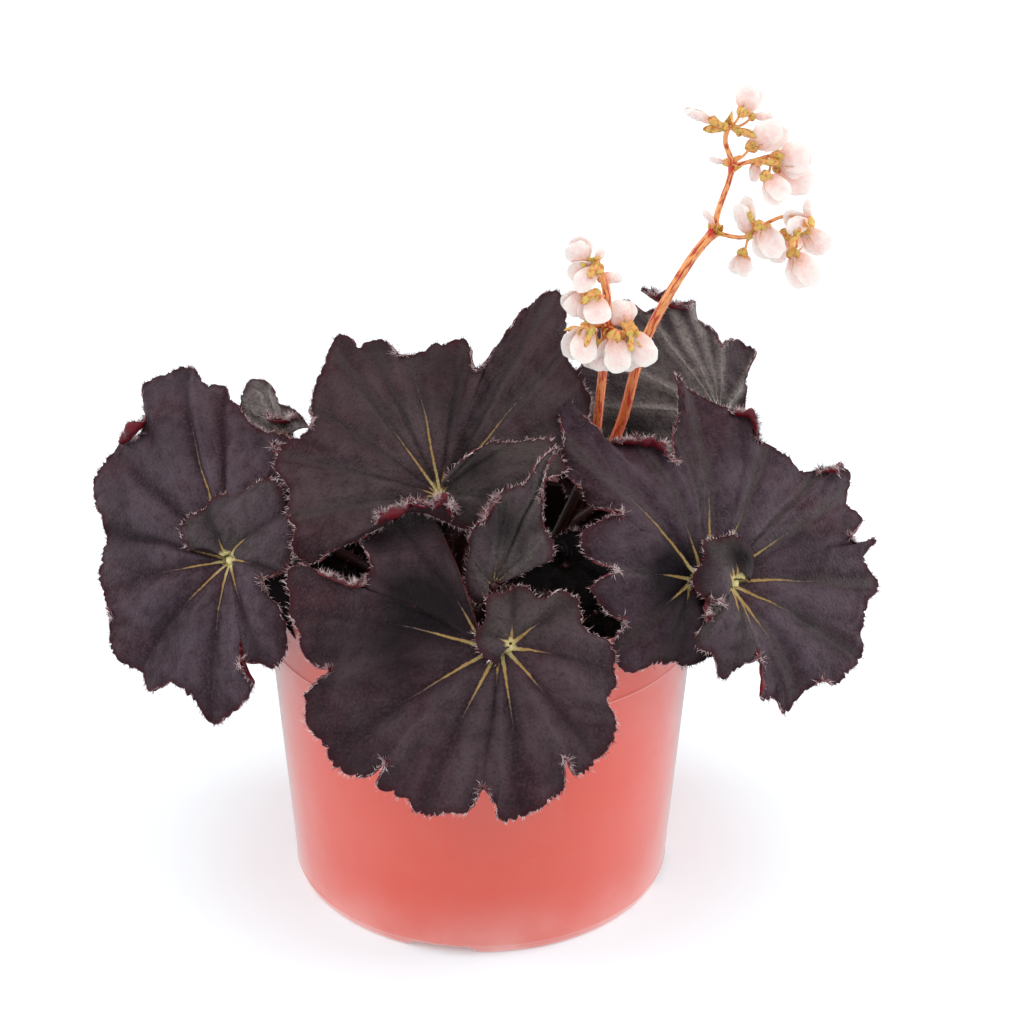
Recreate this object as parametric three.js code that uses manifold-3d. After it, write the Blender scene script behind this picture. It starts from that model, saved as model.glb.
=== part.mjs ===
// A potted rex begonia: dark spiral leaves on long stalks and two flower sprays in a plastic nursery pot.
// Millimetres, +Z up. The origin is on the floor, on the pot's axis, and the front faces -Y.

import * as THREE from 'three';
import { mergeVertices } from 'three/addons/utils/BufferGeometryUtils.js';
import Module from 'manifold-3d';

const wasm = await Module();
wasm.setup();

// The pot's driving dimensions
const POT = {
  height: 92,
  baseRadius: 52.7,
  lineHeight: 73.8,
  lineRadius: 58,
  wall: 1.3,
  footHeight: 3,
  footWidth: 3.2,
  floorThickness: 1.5,
  padRadius: 13,
  segments: 36,
};
const NOTCH = { count: 4, width: 15, flare: 3, height: 2.2, firstAzimuth: -11.6 };
const DRAIN = { count: 6, radius: 3.5, ringRadius: 34, sides: 8 };

// The soil and the thick creeping stem that lies half sunk in it
const SOIL = { top: 78, bump: 1.6, segments: 18 };
const RHIZOME = { radius: 6.4, lumps: 5, length: 38, drop: 3, sides: 8 };
const CLEARANCE = 0.3;

// The leaves
const BLADE_THICKNESS = 0.75;
const HUB_RADIUS = 1.1;
const RINGS = [0, 0.36, 0.72, 1];
const LONGEST_EDGE_STEP = 13;
const STALK = { radius: 2, sides: 6, steps: 8, neck: 8 };

// Heights of a stem's straight foot: its end in the soil, and where it starts to lean
const FOOT = { bottom: 66, middle: 76, top: 84 };

// The flowers of the sprays; the opening is how far each petal of a pair leans away from the other
const FLOWER = {
  petalSides: 6,
  thickness: 0.8,
  opening: 0.2,
  podShare: 0.12,
  podRadius: 0.8,
  stalkRadius: 0.55,
};

const COLOURS = {
  pot: 0xd9665a,
  soil: 0x2b1d17,
  rhizome: 0x5c4a2e,
  leaf: 0x453a42,
  spray: 0xe08a4a,
};

const degrees = THREE.MathUtils.degToRad;

/** A seeded source of numbers from 0 to 1. */
function seeded(seed) {
  let state = seed * 7919 + 17;
  return () => {
    state = (state * 1103515245 + 12345) % 2147483648;
    return state / 2147483648;
  };
}

/** Turns a closed geometry into a solid, with its faces pointing out. */
function toSolid(geometry) {
  const bare = geometry.clone();
  bare.deleteAttribute('normal');
  bare.deleteAttribute('uv');
  const merged = mergeVertices(bare, 1e-4);
  const points = merged.attributes.position;
  const corner = (i) => new THREE.Vector3().fromBufferAttribute(points, i);
  const faces = [];
  let volume = 0;
  for (let i = 0; i < merged.index.count; i += 3) {
    const [a, b, c] = [0, 1, 2].map((k) => merged.index.getX(i + k));
    if (a === b || b === c || a === c) continue;
    faces.push([a, b, c]);
    volume += corner(a).dot(corner(b).cross(corner(c)));
  }
  const triVerts = new Uint32Array(faces.flatMap(([a, b, c]) => (volume < 0 ? [a, c, b] : [a, b, c])));
  const vertProperties = new Float32Array(points.array);
  return new wasm.Manifold(new wasm.Mesh({ numProp: 3, vertProperties, triVerts }));
}

/** Turns a solid back into a geometry. */
function toGeometry(solid) {
  const mesh = solid.getMesh();
  const geometry = new THREE.BufferGeometry();
  geometry.setAttribute('position', new THREE.Float32BufferAttribute(mesh.vertProperties, 3));
  geometry.setIndex([...mesh.triVerts]);
  geometry.computeVertexNormals();
  return geometry;
}

/** Joins several solids into one. */
function join(solids) {
  return solids.reduce((whole, next) => whole.add(next));
}

/** A round tube of even width along a curve. */
function tube(points, radius, sides, steps) {
  const section = new THREE.Shape();
  for (let i = 0; i < sides; i++) {
    const angle = (2 * Math.PI * i) / sides;
    const [x, y] = [radius * Math.cos(angle), radius * Math.sin(angle)];
    if (i === 0) section.moveTo(x, y);
    else section.lineTo(x, y);
  }
  const path = new THREE.CatmullRomCurve3(points, false, 'centripetal');
  return toSolid(new THREE.ExtrudeGeometry(section, { steps, extrudePath: path }));
}

/** The pot's outer radius at a height. */
function potRadius(z) {
  return POT.baseRadius + ((POT.lineRadius - POT.baseRadius) * z) / POT.lineHeight;
}

/** A turned solid from a profile of radius and height, stood on the Z axis. */
function turned(profile, segments) {
  const geometry = new THREE.LatheGeometry(profile.map(([r, z]) => new THREE.Vector2(r, z)), segments);
  return geometry.rotateX(Math.PI / 2);
}

/** The pot: one thin moulded wall with a raised line, a foot ring with notches, and drain holes. */
function makePot() {
  const { height, lineHeight, wall, footHeight, footWidth, floorThickness, padRadius } = POT;
  const floorTop = footHeight + floorThickness;
  const rim = potRadius(height);
  const profile = [
    [0, 0],
    [padRadius, 0],
    [padRadius + 0.6, footHeight],
    [potRadius(0) - footWidth - 0.6, footHeight],
    [potRadius(0) - footWidth, 0],
    [potRadius(0) - 1.1, 0],
    [potRadius(0) - 0.3, 1],
    [potRadius(footHeight) - 0.2, footHeight - 0.4],
    [potRadius(footHeight) + 0.2, footHeight],
    [potRadius(lineHeight) - 0.05, lineHeight - 0.5],
    [potRadius(lineHeight) + 0.5, lineHeight],
    [potRadius(lineHeight) + 0.2, lineHeight + 0.7],
    [rim + 0.1, height - 0.8],
    [rim - 0.4, height],
    [rim - wall, height],
    [rim - wall - 0.5, height - 0.8],
    [potRadius(lineHeight) - wall - 0.2, lineHeight],
    [potRadius(floorTop) - wall, floorTop],
    [0, floorTop],
  ];
  let pot = toSolid(turned(profile, POT.segments));
  for (let i = 0; i < DRAIN.count; i++) {
    const hole = new THREE.CylinderGeometry(DRAIN.radius, DRAIN.radius, 4 * floorThickness, DRAIN.sides);
    hole.rotateX(Math.PI / 2);
    hole.translate(DRAIN.ringRadius, 0, footHeight + floorThickness / 2);
    hole.rotateZ((2 * Math.PI * (i + 0.5)) / DRAIN.count);
    pot = pot.subtract(toSolid(hole));
  }
  const half = NOTCH.width / 2;
  const spread = half + NOTCH.flare + 0.5;
  const shape = new THREE.Shape();
  shape.moveTo(-spread, -0.4);
  shape.lineTo(spread, -0.4);
  shape.lineTo(half, NOTCH.height);
  shape.lineTo(-half, NOTCH.height);
  for (let i = 0; i < NOTCH.count; i++) {
    const cutter = new THREE.ExtrudeGeometry(shape, { depth: 3 * footWidth, bevelEnabled: false });
    cutter.rotateX(Math.PI / 2);
    cutter.translate(0, -POT.baseRadius + 2 * footWidth, 0);
    cutter.rotateZ(degrees(NOTCH.firstAzimuth) + (2 * Math.PI * i) / NOTCH.count);
    pot = pot.subtract(toSolid(cutter));
  }
  return pot;
}

/** The height of the soil's crumbly top. */
function soilHeight(x, y) {
  const waves = Math.sin(x / 5.3 + 1) * Math.cos(y / 4.7) + 0.6 * Math.sin((x + y) / 3.1);
  return SOIL.top + (SOIL.bump * waves) / 2;
}

/** The body of soil that fills the pot, with a bumpy top. */
function makeSoilBody() {
  const bottom = POT.footHeight + POT.floorThickness + CLEARANCE;
  const edge = (z) => potRadius(z) - POT.wall - CLEARANCE;
  const inset = 0.2;
  const rings = [0.75, 0.5, 0.25, 0];
  const profile = [
    [0, bottom],
    [edge(bottom) - inset, bottom],
    [edge(POT.lineHeight) - inset, POT.lineHeight],
    [edge(SOIL.top) - inset, SOIL.top],
    ...rings.map((part) => [part * edge(SOIL.top), SOIL.top]),
  ];
  const geometry = turned(profile, SOIL.segments);
  const position = geometry.attributes.position;
  for (let i = 0; i < position.count; i++) {
    if (position.getZ(i) < SOIL.top - 0.01) continue;
    position.setZ(i, soilHeight(position.getX(i), position.getY(i)));
  }
  return toSolid(geometry);
}

/** The rhizome: a row of lumps that runs through the middle of the pot. */
function makeRhizome(swell) {
  const draw = seeded(4);
  const lumps = [];
  for (let i = 0; i < RHIZOME.lumps; i++) {
    const along = (i / (RHIZOME.lumps - 1) - 0.5) * RHIZOME.length;
    const across = 7 * Math.sin(along / 11) + 2 * (draw() - 0.5);
    const height = SOIL.top - RHIZOME.drop + draw();
    const lump = new THREE.SphereGeometry(RHIZOME.radius + 1.2 * draw() + swell, RHIZOME.sides, 5);
    lumps.push(toSolid(lump.scale(1, 1, 0.8).translate(along, across, height)));
  }
  return join(lumps);
}

/** The three directions of a leaf: to its right, up along it, and out of its upper face. */
function leafAxes(leaf) {
  const [face, rise] = [degrees(leaf.face), degrees(leaf.rise)];
  const level = Math.cos(rise);
  const out = new THREE.Vector3(level * Math.sin(face), -level * Math.cos(face), Math.sin(rise));
  const right = new THREE.Vector3(Math.cos(face), Math.sin(face), 0);
  return { right, up: new THREE.Vector3().crossVectors(out, right), out };
}

/**
 * A function that gives the leaf's upper face. Its blade winds round the top of the stalk like a ramp,
 * from the lobe underneath to the one on top. sweep goes round it and reach goes out to its edge,
 * both from 0 to 1. The edge's points are millimetres right, up and out of the leaf's own plane.
 */
function leafFace(leaf) {
  const axes = leafAxes(leaf);
  const hub = new THREE.Vector3(...leaf.hub);
  const edge = new THREE.CatmullRomCurve3(
    leaf.edge.map(([u, v, h = 0]) => new THREE.Vector3(u, v, h)),
    false,
    'centripetal',
  );
  const [shiftU, shiftV] = leaf.shift ?? [0, 0];
  const [bendU, bendV] = leaf.bend;
  return (sweep, reach) => {
    const rim = edge.getPoint(THREE.MathUtils.clamp(sweep, 0, 1));
    const middle = new THREE.Vector2(shiftU, shiftV).multiplyScalar(sweep - 0.5);
    const spoke = new THREE.Vector2(rim.x, rim.y).sub(middle);
    const length = HUB_RADIUS + (spoke.length() - HUB_RADIUS) * reach;
    const place = spoke.normalize().multiplyScalar(length).add(middle);
    const bend = -bendU * (place.x / 50) ** 2 - bendV * (place.y / 50) ** 2;
    const dome = leaf.dome * Math.sin(Math.PI * reach ** 0.8);
    const pleat = leaf.pleat * Math.sin(2 * Math.PI * leaf.folds * sweep) * reach ** 1.5;
    const height = bend + dome + pleat + leaf.ramp * (sweep - 0.5) + rim.z * reach ** 3;
    return hub.clone().addScaledVector(axes.right, place.x).addScaledVector(axes.up, place.y)
      .addScaledVector(axes.out, height);
  };
}

/** Where the blade's columns stand: at each point of the edge, and halfway where the next is far. */
function columnSweeps({ edge, longestStep = LONGEST_EDGE_STEP }) {
  const sweeps = [0];
  for (let i = 1; i < edge.length; i++) {
    const step = Math.hypot(edge[i][0] - edge[i - 1][0], edge[i][1] - edge[i - 1][1]);
    if (step > longestStep) sweeps.push((i - 0.5) / (edge.length - 1));
    sweeps.push(i / (edge.length - 1));
  }
  return sweeps;
}

/** The blade: a grid over the leaf's upper face, and the same grid again a blade's thickness below. */
function makeBlade(leaf) {
  const face = leafFace(leaf);
  const { out } = leafAxes(leaf);
  const sweeps = columnSweeps(leaf);
  const columns = sweeps.length - 1;
  const step = 1e-3;
  const top = [];
  const under = [];
  for (const sweep of sweeps) {
    for (const reach of RINGS) {
      const point = face(sweep, reach);
      const round = face(Math.min(1, sweep + step), reach).sub(face(Math.max(0, sweep - step), reach));
      const outward = face(sweep, Math.min(1, reach + step)).sub(face(sweep, Math.max(0, reach - step)));
      const normal = round.cross(outward).normalize();
      if (normal.dot(out) < 0) normal.negate();
      top.push(point);
      under.push(point.clone().addScaledVector(normal, -BLADE_THICKNESS));
    }
  }
  const rings = RINGS.length;
  const all = [...top, ...under];
  const faces = [];
  const quad = (a, b, c, d) => faces.push(a, b, c, a, c, d);
  const at = (i, j) => i * rings + j;
  for (let i = 0; i < columns; i++) {
    for (let j = 0; j < rings - 1; j++) {
      const corners = [at(i, j), at(i, j + 1), at(i + 1, j + 1), at(i + 1, j)];
      quad(...corners);
      const [a, b, c, d] = corners.map((k) => k + top.length);
      faces.push(a, c, b, a, d, c);
    }
  }
  const border = [];
  for (let i = 0; i < columns; i++) border.push([at(i, rings - 1), at(i + 1, rings - 1)]);
  for (let j = rings - 1; j > 0; j--) border.push([at(columns, j), at(columns, j - 1)]);
  for (let i = columns; i > 0; i--) border.push([at(i, 0), at(i - 1, 0)]);
  for (let j = 0; j < rings - 1; j++) border.push([at(0, j), at(0, j + 1)]);
  for (const [a, b] of border) quad(a, a + top.length, b + top.length, b);
  const geometry = new THREE.BufferGeometry();
  geometry.setAttribute('position', new THREE.Float32BufferAttribute(all.flatMap((p) => p.toArray()), 3));
  geometry.setIndex(faces);
  return toSolid(geometry);
}

/** The straight foot of a stem: three points that stand over one another. */
function footPoints([x, y]) {
  return [FOOT.bottom, FOOT.middle, FOOT.top].map((z) => new THREE.Vector3(x, y, z));
}

/** The plain hole that a stem stands in, with its clearance. */
function makeSocket(foot, radius) {
  const points = [FOOT.bottom - CLEARANCE, FOOT.top].map((z) => new THREE.Vector3(...foot, z));
  return tube(points, radius + CLEARANCE + 0.15, STALK.sides, 1);
}

/**
 * A leaf's stalk: from under the soil, up and along its way, in to the hub from below, and on
 * through the hub, where the blade winds round it.
 */
function makeStalk(leaf) {
  const { right, up, out } = leafAxes(leaf);
  const [shiftU, shiftV] = leaf.shift ?? [0, 0];
  const hubPoint = (side, depth) => new THREE.Vector3(...leaf.hub)
    .addScaledVector(right, (side * shiftU) / 2)
    .addScaledVector(up, (side * shiftV) / 2)
    .addScaledVector(out, depth);
  const halfHeight = leaf.ramp / 2 + BLADE_THICKNESS;
  const points = [
    ...footPoints(leaf.foot),
    ...leaf.way.map((point) => new THREE.Vector3(...point)),
    hubPoint(-1, -(leaf.neck ?? STALK.neck)),
    hubPoint(-1, -halfHeight),
    hubPoint(1, halfHeight),
  ];
  return tube(points, leaf.stalk ?? STALK.radius, STALK.sides, STALK.steps);
}

/** A whole leaf, grown as one piece. */
function makeLeaf(leaf) {
  return makeBlade(leaf).add(makeStalk(leaf));
}

// The leaves that show from the front
const SHOWN_LEAVES = {
  leaf_left: {
    hub: [-64, -26, 103], face: -22, rise: 36, foot: [-20, -8], bend: [6, 7],
    dome: 3, pleat: 0.5, folds: 9, ramp: 5, way: [[-42, -14, 92]],
    edge: [
      [8, 20, -2], [1, 29, 1], [7, 34], [-8, 41], [-19, 48], [-28, 49], [-35, 51], [-43, 48], [-41, 38, 2],
      [-45, 28], [-49, 21], [-45, 8], [-39, -3], [-38, -9], [-33, -19], [-28, -30], [-16, -36], [-8, -34],
      [2, -39], [9, -37], [14, -31], [10, -25, 2], [21, -22], [18, -11], [9, -3, 2], [16, 4], [14, 14],
      [9, 21], [-2, 20], [-12, 14], [-15, 6], [-11, 0],
    ],
  },
  leaf_upper: {
    hub: [-5, -34, 120], face: -4, rise: 38, foot: [-7, -6], bend: [6, 8],
    dome: 3, pleat: 0.5, folds: 8, ramp: 4, way: [[-6, -12, 100]],
    edge: [
      [2, -4], [-6, -4], [-12, 2, 1], [-15, 4, 3], [-21, -3, 2], [-30, -10, 1], [-37, -13, 4], [-43, -7, 4],
      [-48, 10], [-45, 18, 1], [-39, 23], [-39, 38], [-36, 47], [-31, 49], [-24, 48], [-16, 46], [-8, 48],
      [-1, 47, 2], [3, 40, 3], [6, 45, 2], [14, 60], [21, 66], [25, 46, -4], [32, 35, -3], [28, 22],
      [22, 12], [12, 16], [4, 17], [-4, 13], [-7, 5],
    ],
  },
  leaf_front: {
    hub: [4, -62, 96], face: 4, rise: 44, foot: [9, -25], bend: [5, 8], shift: [7, -1],
    dome: 3, pleat: 0.5, folds: 9, ramp: 5, way: [[8, -36, 92], [5, -53, 97]],
    neck: 4,
    edge: [
      [-6, 14], [-13, 25, -4], [-24, 35, -6], [-38, 32, -7], [-49, 24, -4], [-50, 12], [-45, -4], [-48, -13],
      [-40, -25], [-31, -28, 2], [-28, -34], [-17, -38], [-8, -38], [-5, -34, 2], [0, -41], [9, -37],
      [14, -30, 2], [18, -31], [26, -23], [28, -9], [27, -1], [20, 9], [13, 14], [7, 16], [-3, 13], [-8, 7],
      [-7, 0], [-2, -4],
    ],
  },
  leaf_right: {
    hub: [58.5, -38, 102.7], face: 22, rise: 38, foot: [22, -12], bend: [5, 7], shift: [11, -4],
    dome: 3, pleat: 0.6, folds: 13, ramp: 6, way: [[42, -20, 92]],
    edge: [
      [1, -20], [-8, -22], [-17, -19], [-26, -17], [-32, -6], [-32, 9, 2], [-26, 22], [-27, 40],
      [-22, 58], [-16, 43], [-5, 43, 2], [-2, 34, 3], [3, 38], [5, 50], [8, 58], [17, 51], [25, 43, 2],
      [32, 33], [44, 24], [47, 29, 2], [53, 26], [51, 16], [48, 6, 2], [48, -4], [44, -14], [40, -26],
      [29, -33], [17, -37], [9, -30, 2], [5, -22], [-3, -23], [-9, -15], [-7, -9], [0, -8, 2], [-4, -2],
      [-3, 6], [4, 12], [11, 11], [14, 5], [11, -1],
    ],
  },
  leaf_back_right: {
    hub: [66, 24, 125], face: 2, rise: 20, foot: [24, 6], bend: [-5, 5],
    dome: 2, pleat: 0.9, folds: 7, ramp: 4, way: [[46, 14, 102], [58, 22, 115]], neck: 3,
    edge: [
      [9, -14], [8, -4], [8, 8], [10, 18], [0, 23, 2], [-5, 27], [-8, 35], [-17, 38, 1], [-27, 36],
      [-35, 25], [-37, 10], [-34, -2], [-24, -14], [-12, -20], [-2, -18],
    ],
  },
  leaf_young: {
    hub: [3, -45, 105], face: -8, rise: 12, foot: [-1, -20], bend: [-6, 3], stalk: 1.5,
    dome: 1, pleat: 0.4, folds: 4, ramp: 2.5, way: [[1, -32, 92]],
    edge: [
      [5, -4], [12, 2], [16, 8, 2], [12, 14], [12, 24, 2], [14, 31, 1], [6, 28], [-2, 19], [-5, 11], [-8, 2],
      [-5, -6], [0, -7],
    ],
  },
  leaf_small_grey: {
    hub: [-52, 3, 126], face: -12, rise: 30, foot: [-18, 4], bend: [3, 3], stalk: 1.5,
    dome: 1, pleat: 0.4, folds: 4, ramp: 2.5, way: [[-34, 3, 104], [-46, 5, 117]], neck: 3,
    edge: [
      [6, 3], [1, 5], [-4, 10], [-7, 14], [-13, 14], [-16, 8], [-18, 0], [-14, -8], [-6, -12], [3, -12],
      [9, -7],
    ],
  },
};

/**
 * The outline of a leaf that the photograph hides. It is broad, lopsided and bitten, with its tip
 * hanging outwards and two short lobes that overlap above the stalk, from a seeded draw.
 */
function looseOutline(radius, seed) {
  const draw = seeded(seed);
  const count = 14;
  const points = [];
  for (let i = 0; i < count; i++) {
    const part = i / (count - 1);
    const angle = degrees(68 + 405 * part);
    const body = 0.42 + 0.58 * Math.sin(Math.PI * part ** 0.85) ** 0.8;
    const bitten = i % 3 === 2;
    const reach = radius * body * (bitten ? 0.84 : 1) * (0.93 + 0.14 * draw()) * (i === 6 ? 1.12 : 1);
    points.push([reach * Math.cos(angle), reach * Math.sin(angle), bitten ? 1.5 : 0]);
  }
  return points;
}

/** A leaf at the back or low down, drooping at its edge. */
function looseLeaf(hub, face, rise, foot, radius, seed, way) {
  return {
    hub, face, rise, foot, way, edge: looseOutline(radius, seed), longestStep: 16,
    bend: [7, 9], dome: 2.5, pleat: 0.5, folds: 6, ramp: 4, neck: 4,
  };
}

const HIDDEN_LEAVES = {
  leaf_crown: looseLeaf([-8, 15, 121], 172, 70, [-7, 8], 30, 3, [[-8, 11, 102]]),
  leaf_back_left: looseLeaf([-55, 36, 99], -130, 50, [-17, 14], 35, 5, [[-30, 24, 94]]),
  leaf_back: looseLeaf([5, 55, 105], -180, 48, [2, 20], 39, 7, [[4, 38, 92]]),
  leaf_back_low: looseLeaf([60, 42, 94], 122, 46, [16, 18], 33, 9, [[36, 32, 95], [49, 37, 97]]),
  leaf_right_low: looseLeaf([73, 4, 90], 84, 42, [28, -2], 31, 11, [[46, 2, 96], [60, 3, 97]]),
  leaf_left_low: looseLeaf([-76, -5, 90], -84, 42, [-28, 2], 29, 13, [[-46, 0, 96], [-61, -3, 97]]),
  leaf_middle_low: looseLeaf([22, -17, 97], 20, 56, [14, -12], 16, 15, [[17, -14, 90]]),
};

/** One rounded petal that stands on the origin, along +Z, with its face towards +Y. */
function makePetal(length, width, thickness, lean) {
  const outline = [[0, -0.5], [0.9, -0.36], [0.9, 0.36], [0, 0.5]].map(([r, y]) => new THREE.Vector2(r, y));
  const petal = new THREE.LatheGeometry(outline, FLOWER.petalSides);
  petal.scale(width / 2, thickness, length / 2);
  return petal.translate(0, 0, 0.46 * length).rotateX(lean);
}

/**
 * A flower: a pair of rounded petals, a little open, that reach from a seed pod to their tip. The pod
 * hangs on a thin stalk. A bud has one petal.
 */
function makeFlower({ from, base, tip, width, bud }) {
  const [start, middle, end] = [from, base, tip].map((point) => new THREE.Vector3(...point));
  const along = end.clone().sub(middle);
  const length = along.length();
  along.normalize();
  const across = new THREE.Vector3().crossVectors(new THREE.Vector3(0, 1, 0), along).normalize();
  const facing = new THREE.Vector3().crossVectors(along, across);
  const turn = new THREE.Matrix4().makeBasis(across, facing, along).setPosition(middle);
  const leans = bud ? [0] : [-FLOWER.opening, FLOWER.opening];
  const petals = leans.map((lean) => makePetal(length, width, FLOWER.thickness, lean));
  const pod = new THREE.OctahedronGeometry(FLOWER.podShare * width + FLOWER.podRadius);
  const solids = petals.map((petal) => toSolid(petal.applyMatrix4(turn)));
  return join([...solids, toSolid(pod.applyMatrix4(turn)), tube([start, middle], FLOWER.stalkRadius, 3, 1)]);
}

/** A spray: a stem with side branches, and the flowers that hang from them. */
function makeSpray({ foot, branches, flowers }) {
  const parts = branches.map(({ radius, points }, i) => {
    const path = points.map((point) => new THREE.Vector3(...point));
    const whole = i === 0 ? [...footPoints(foot), ...path] : path;
    return tube(whole, radius, STALK.sides, 2 * (whole.length - 1));
  });
  return join([...parts, ...flowers.map(makeFlower)]);
}

const SPRAYS = {
  spray_tall: {
    foot: [15, 6],
    branches: [
      { radius: 1.7, points: [[36, 6, 125], [43, 6, 152], [55, 7, 175], [60, 8, 181]] },
      { radius: 1.1, points: [[60, 8, 181], [61, 9, 186], [64, 9, 198], [62, 9, 205], [63, 9, 209]] },
      { radius: 0.7, points: [[60, 8, 181], [68, 7, 180], [74, 7, 184], [79, 6, 186], [82, 6, 185]] },
      { radius: 0.7, points: [[64, 9, 198], [70, 8, 200], [74, 8, 201], [77, 8, 200]] },
    ],
    flowers: [
      { from: [67, 7, 180], base: [69, 7, 181], tip: [66, 5, 191], width: 4.5 },
      { from: [69, 7, 181], base: [68, 8, 175], tip: [67, 8, 169], width: 5 },
      { from: [74, 7, 184], base: [72, 5, 183], tip: [76, 3, 175], width: 7 },
      { from: [80, 6, 186], base: [84, 6, 184], tip: [77, 4, 185], width: 5 },
      { from: [82, 6, 185], base: [84, 9, 181], tip: [89, 11, 174], width: 7.5 },
      { from: [82, 6, 185], base: [81, 5, 176], tip: [85, 3, 167], width: 7 },
      { from: [79, 6, 186], base: [79, 9, 180], tip: [75, 12, 173], width: 6.5 },
      { from: [82, 6, 185], base: [84, 7, 185], tip: [84, 8, 190], width: 3.5, bud: true },
      { from: [64, 9, 199], base: [69, 8, 204], tip: [77, 6, 209], width: 7 },
      { from: [77, 8, 200], base: [76, 7, 201], tip: [84, 5, 200], width: 9 },
      { from: [77, 8, 200], base: [77, 9, 198], tip: [83, 11, 190], width: 9 },
      { from: [74, 8, 201], base: [73, 6, 196], tip: [77, 3, 190], width: 6 },
      { from: [70, 8, 200], base: [70, 8, 199], tip: [70, 10, 194], width: 4, bud: true },
      { from: [63, 9, 208], base: [66, 8, 213], tip: [69, 9, 219], width: 6.5 },
      { from: [63, 9, 208], base: [69, 9, 211], tip: [74, 9, 211], width: 2.5, bud: true },
      { from: [63, 9, 208], base: [58, 8, 210], tip: [51, 7, 213], width: 3.5, bud: true },
      { from: [63, 9, 208], base: [66, 9, 207], tip: [70, 10, 206], width: 3, bud: true },
      { from: [60, 8, 182], base: [60, 8, 183], tip: [57, 8, 187], width: 2.5, bud: true },
      { from: [64, 9, 198], base: [62, 9, 199], tip: [58, 9, 200], width: 2, bud: true },
    ],
  },
  spray_short: {
    foot: [14, -3],
    branches: [
      {
        radius: 1.4,
        points: [[29, -1, 122], [31, -3, 140], [32, -3, 155], [32, -4, 168], [31, -4, 172], [29, -4, 176]],
      },
      { radius: 0.7, points: [[32, -3, 159], [28, -6, 160], [25, -8, 160]] },
      { radius: 0.7, points: [[32, -3, 159], [35, -7, 159], [39, -8, 158]] },
    ],
    flowers: [
      { from: [26, -7, 160], base: [27, -9, 160], tip: [23, -12, 152], width: 7.5 },
      { from: [29, -6, 160], base: [30, -8, 155], tip: [29, -10, 149], width: 5.5 },
      { from: [34, -6, 159], base: [34, -10, 158], tip: [33, -12, 149], width: 7.5 },
      { from: [36, -7, 159], base: [36, -7, 157], tip: [37, -6, 148], width: 6.5 },
      { from: [39, -8, 158], base: [39, -9, 159], tip: [41, -11, 150], width: 7.5 },
      { from: [37, -7, 159], base: [37, -4, 160], tip: [35, -1, 166], width: 7 },
      { from: [32, -4, 168], base: [26, -5, 168], tip: [21, -6, 164], width: 6 },
      { from: [32, -4, 168], base: [29, -7, 168], tip: [28, -9, 161], width: 7.5 },
      { from: [29, -4, 176], base: [26, -5, 177], tip: [23, -6, 183], width: 6.5 },
      { from: [31, -4, 172], base: [29, -6, 175], tip: [22, -7, 172], width: 6 },
      { from: [32, -4, 170], base: [31, -2, 172], tip: [36, 0, 171], width: 4, bud: true },
      { from: [29, -4, 175], base: [29, -4, 177], tip: [31, -3, 180], width: 3, bud: true },
    ],
  },
};

const LEAVES = { ...SHOWN_LEAVES, ...HIDDEN_LEAVES };

/** The plain holes for everything that stands in the soil. */
function makeSockets() {
  const stalks = Object.values(LEAVES).map((leaf) => makeSocket(leaf.foot, leaf.stalk ?? STALK.radius));
  const stems = Object.values(SPRAYS).map(({ foot, branches }) => makeSocket(foot, branches[0].radius));
  return join([...stalks, ...stems]);
}

const plant = new THREE.Group();

/** Adds a solid to the plant as a named mesh. */
function addPiece(name, solid, colour, roughness) {
  const material = new THREE.MeshStandardMaterial({ color: colour, roughness, metalness: 0 });
  const mesh = new THREE.Mesh(toGeometry(solid), material);
  mesh.name = name;
  plant.add(mesh);
}

const sockets = makeSockets();
const rhizomeBed = makeRhizome(CLEARANCE + 0.05);
addPiece('pot', makePot(), COLOURS.pot, 0.6);
addPiece('soil', makeSoilBody().subtract(rhizomeBed).subtract(sockets), COLOURS.soil, 1);
addPiece('rhizome', makeRhizome(0).subtract(sockets), COLOURS.rhizome, 0.8);
for (const [name, leaf] of Object.entries(LEAVES)) addPiece(name, makeLeaf(leaf), COLOURS.leaf, 0.75);
for (const [name, spray] of Object.entries(SPRAYS)) addPiece(name, makeSpray(spray), COLOURS.spray, 0.5);

export default plant;
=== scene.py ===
"""A potted rex begonia: dark spiral leaves with hairy margins and two flower sprays in a nursery pot."""

import math

import bpy
import numpy as np
from bpy.props import FloatProperty, FloatVectorProperty, IntProperty, PointerProperty
from mathutils import Matrix, Vector


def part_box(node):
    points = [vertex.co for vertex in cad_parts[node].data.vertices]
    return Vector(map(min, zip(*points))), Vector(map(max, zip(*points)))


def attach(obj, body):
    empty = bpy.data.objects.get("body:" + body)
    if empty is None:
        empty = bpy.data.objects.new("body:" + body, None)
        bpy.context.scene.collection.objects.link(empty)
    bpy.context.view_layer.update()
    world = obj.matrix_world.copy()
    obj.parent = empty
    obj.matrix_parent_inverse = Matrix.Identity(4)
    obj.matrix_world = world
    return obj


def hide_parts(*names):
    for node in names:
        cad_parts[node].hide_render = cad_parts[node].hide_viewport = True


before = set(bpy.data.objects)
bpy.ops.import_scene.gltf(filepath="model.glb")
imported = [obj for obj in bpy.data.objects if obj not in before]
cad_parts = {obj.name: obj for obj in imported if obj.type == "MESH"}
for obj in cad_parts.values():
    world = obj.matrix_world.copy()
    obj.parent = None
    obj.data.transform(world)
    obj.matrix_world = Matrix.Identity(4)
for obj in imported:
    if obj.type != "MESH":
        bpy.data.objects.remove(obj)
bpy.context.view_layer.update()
POT_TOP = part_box("pot")[1].z

bl_info = {
    "name": "Potted Rex Begonia",
    "version": (1, 0, 0),
    "blender": (4, 5, 0),
    "location": "View3D > Sidebar > Begonia",
    "description": "Builds a dark-leaved rex begonia in a nursery pot, piece by piece",
    "category": "Object",
}

MM = 0.001

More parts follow.
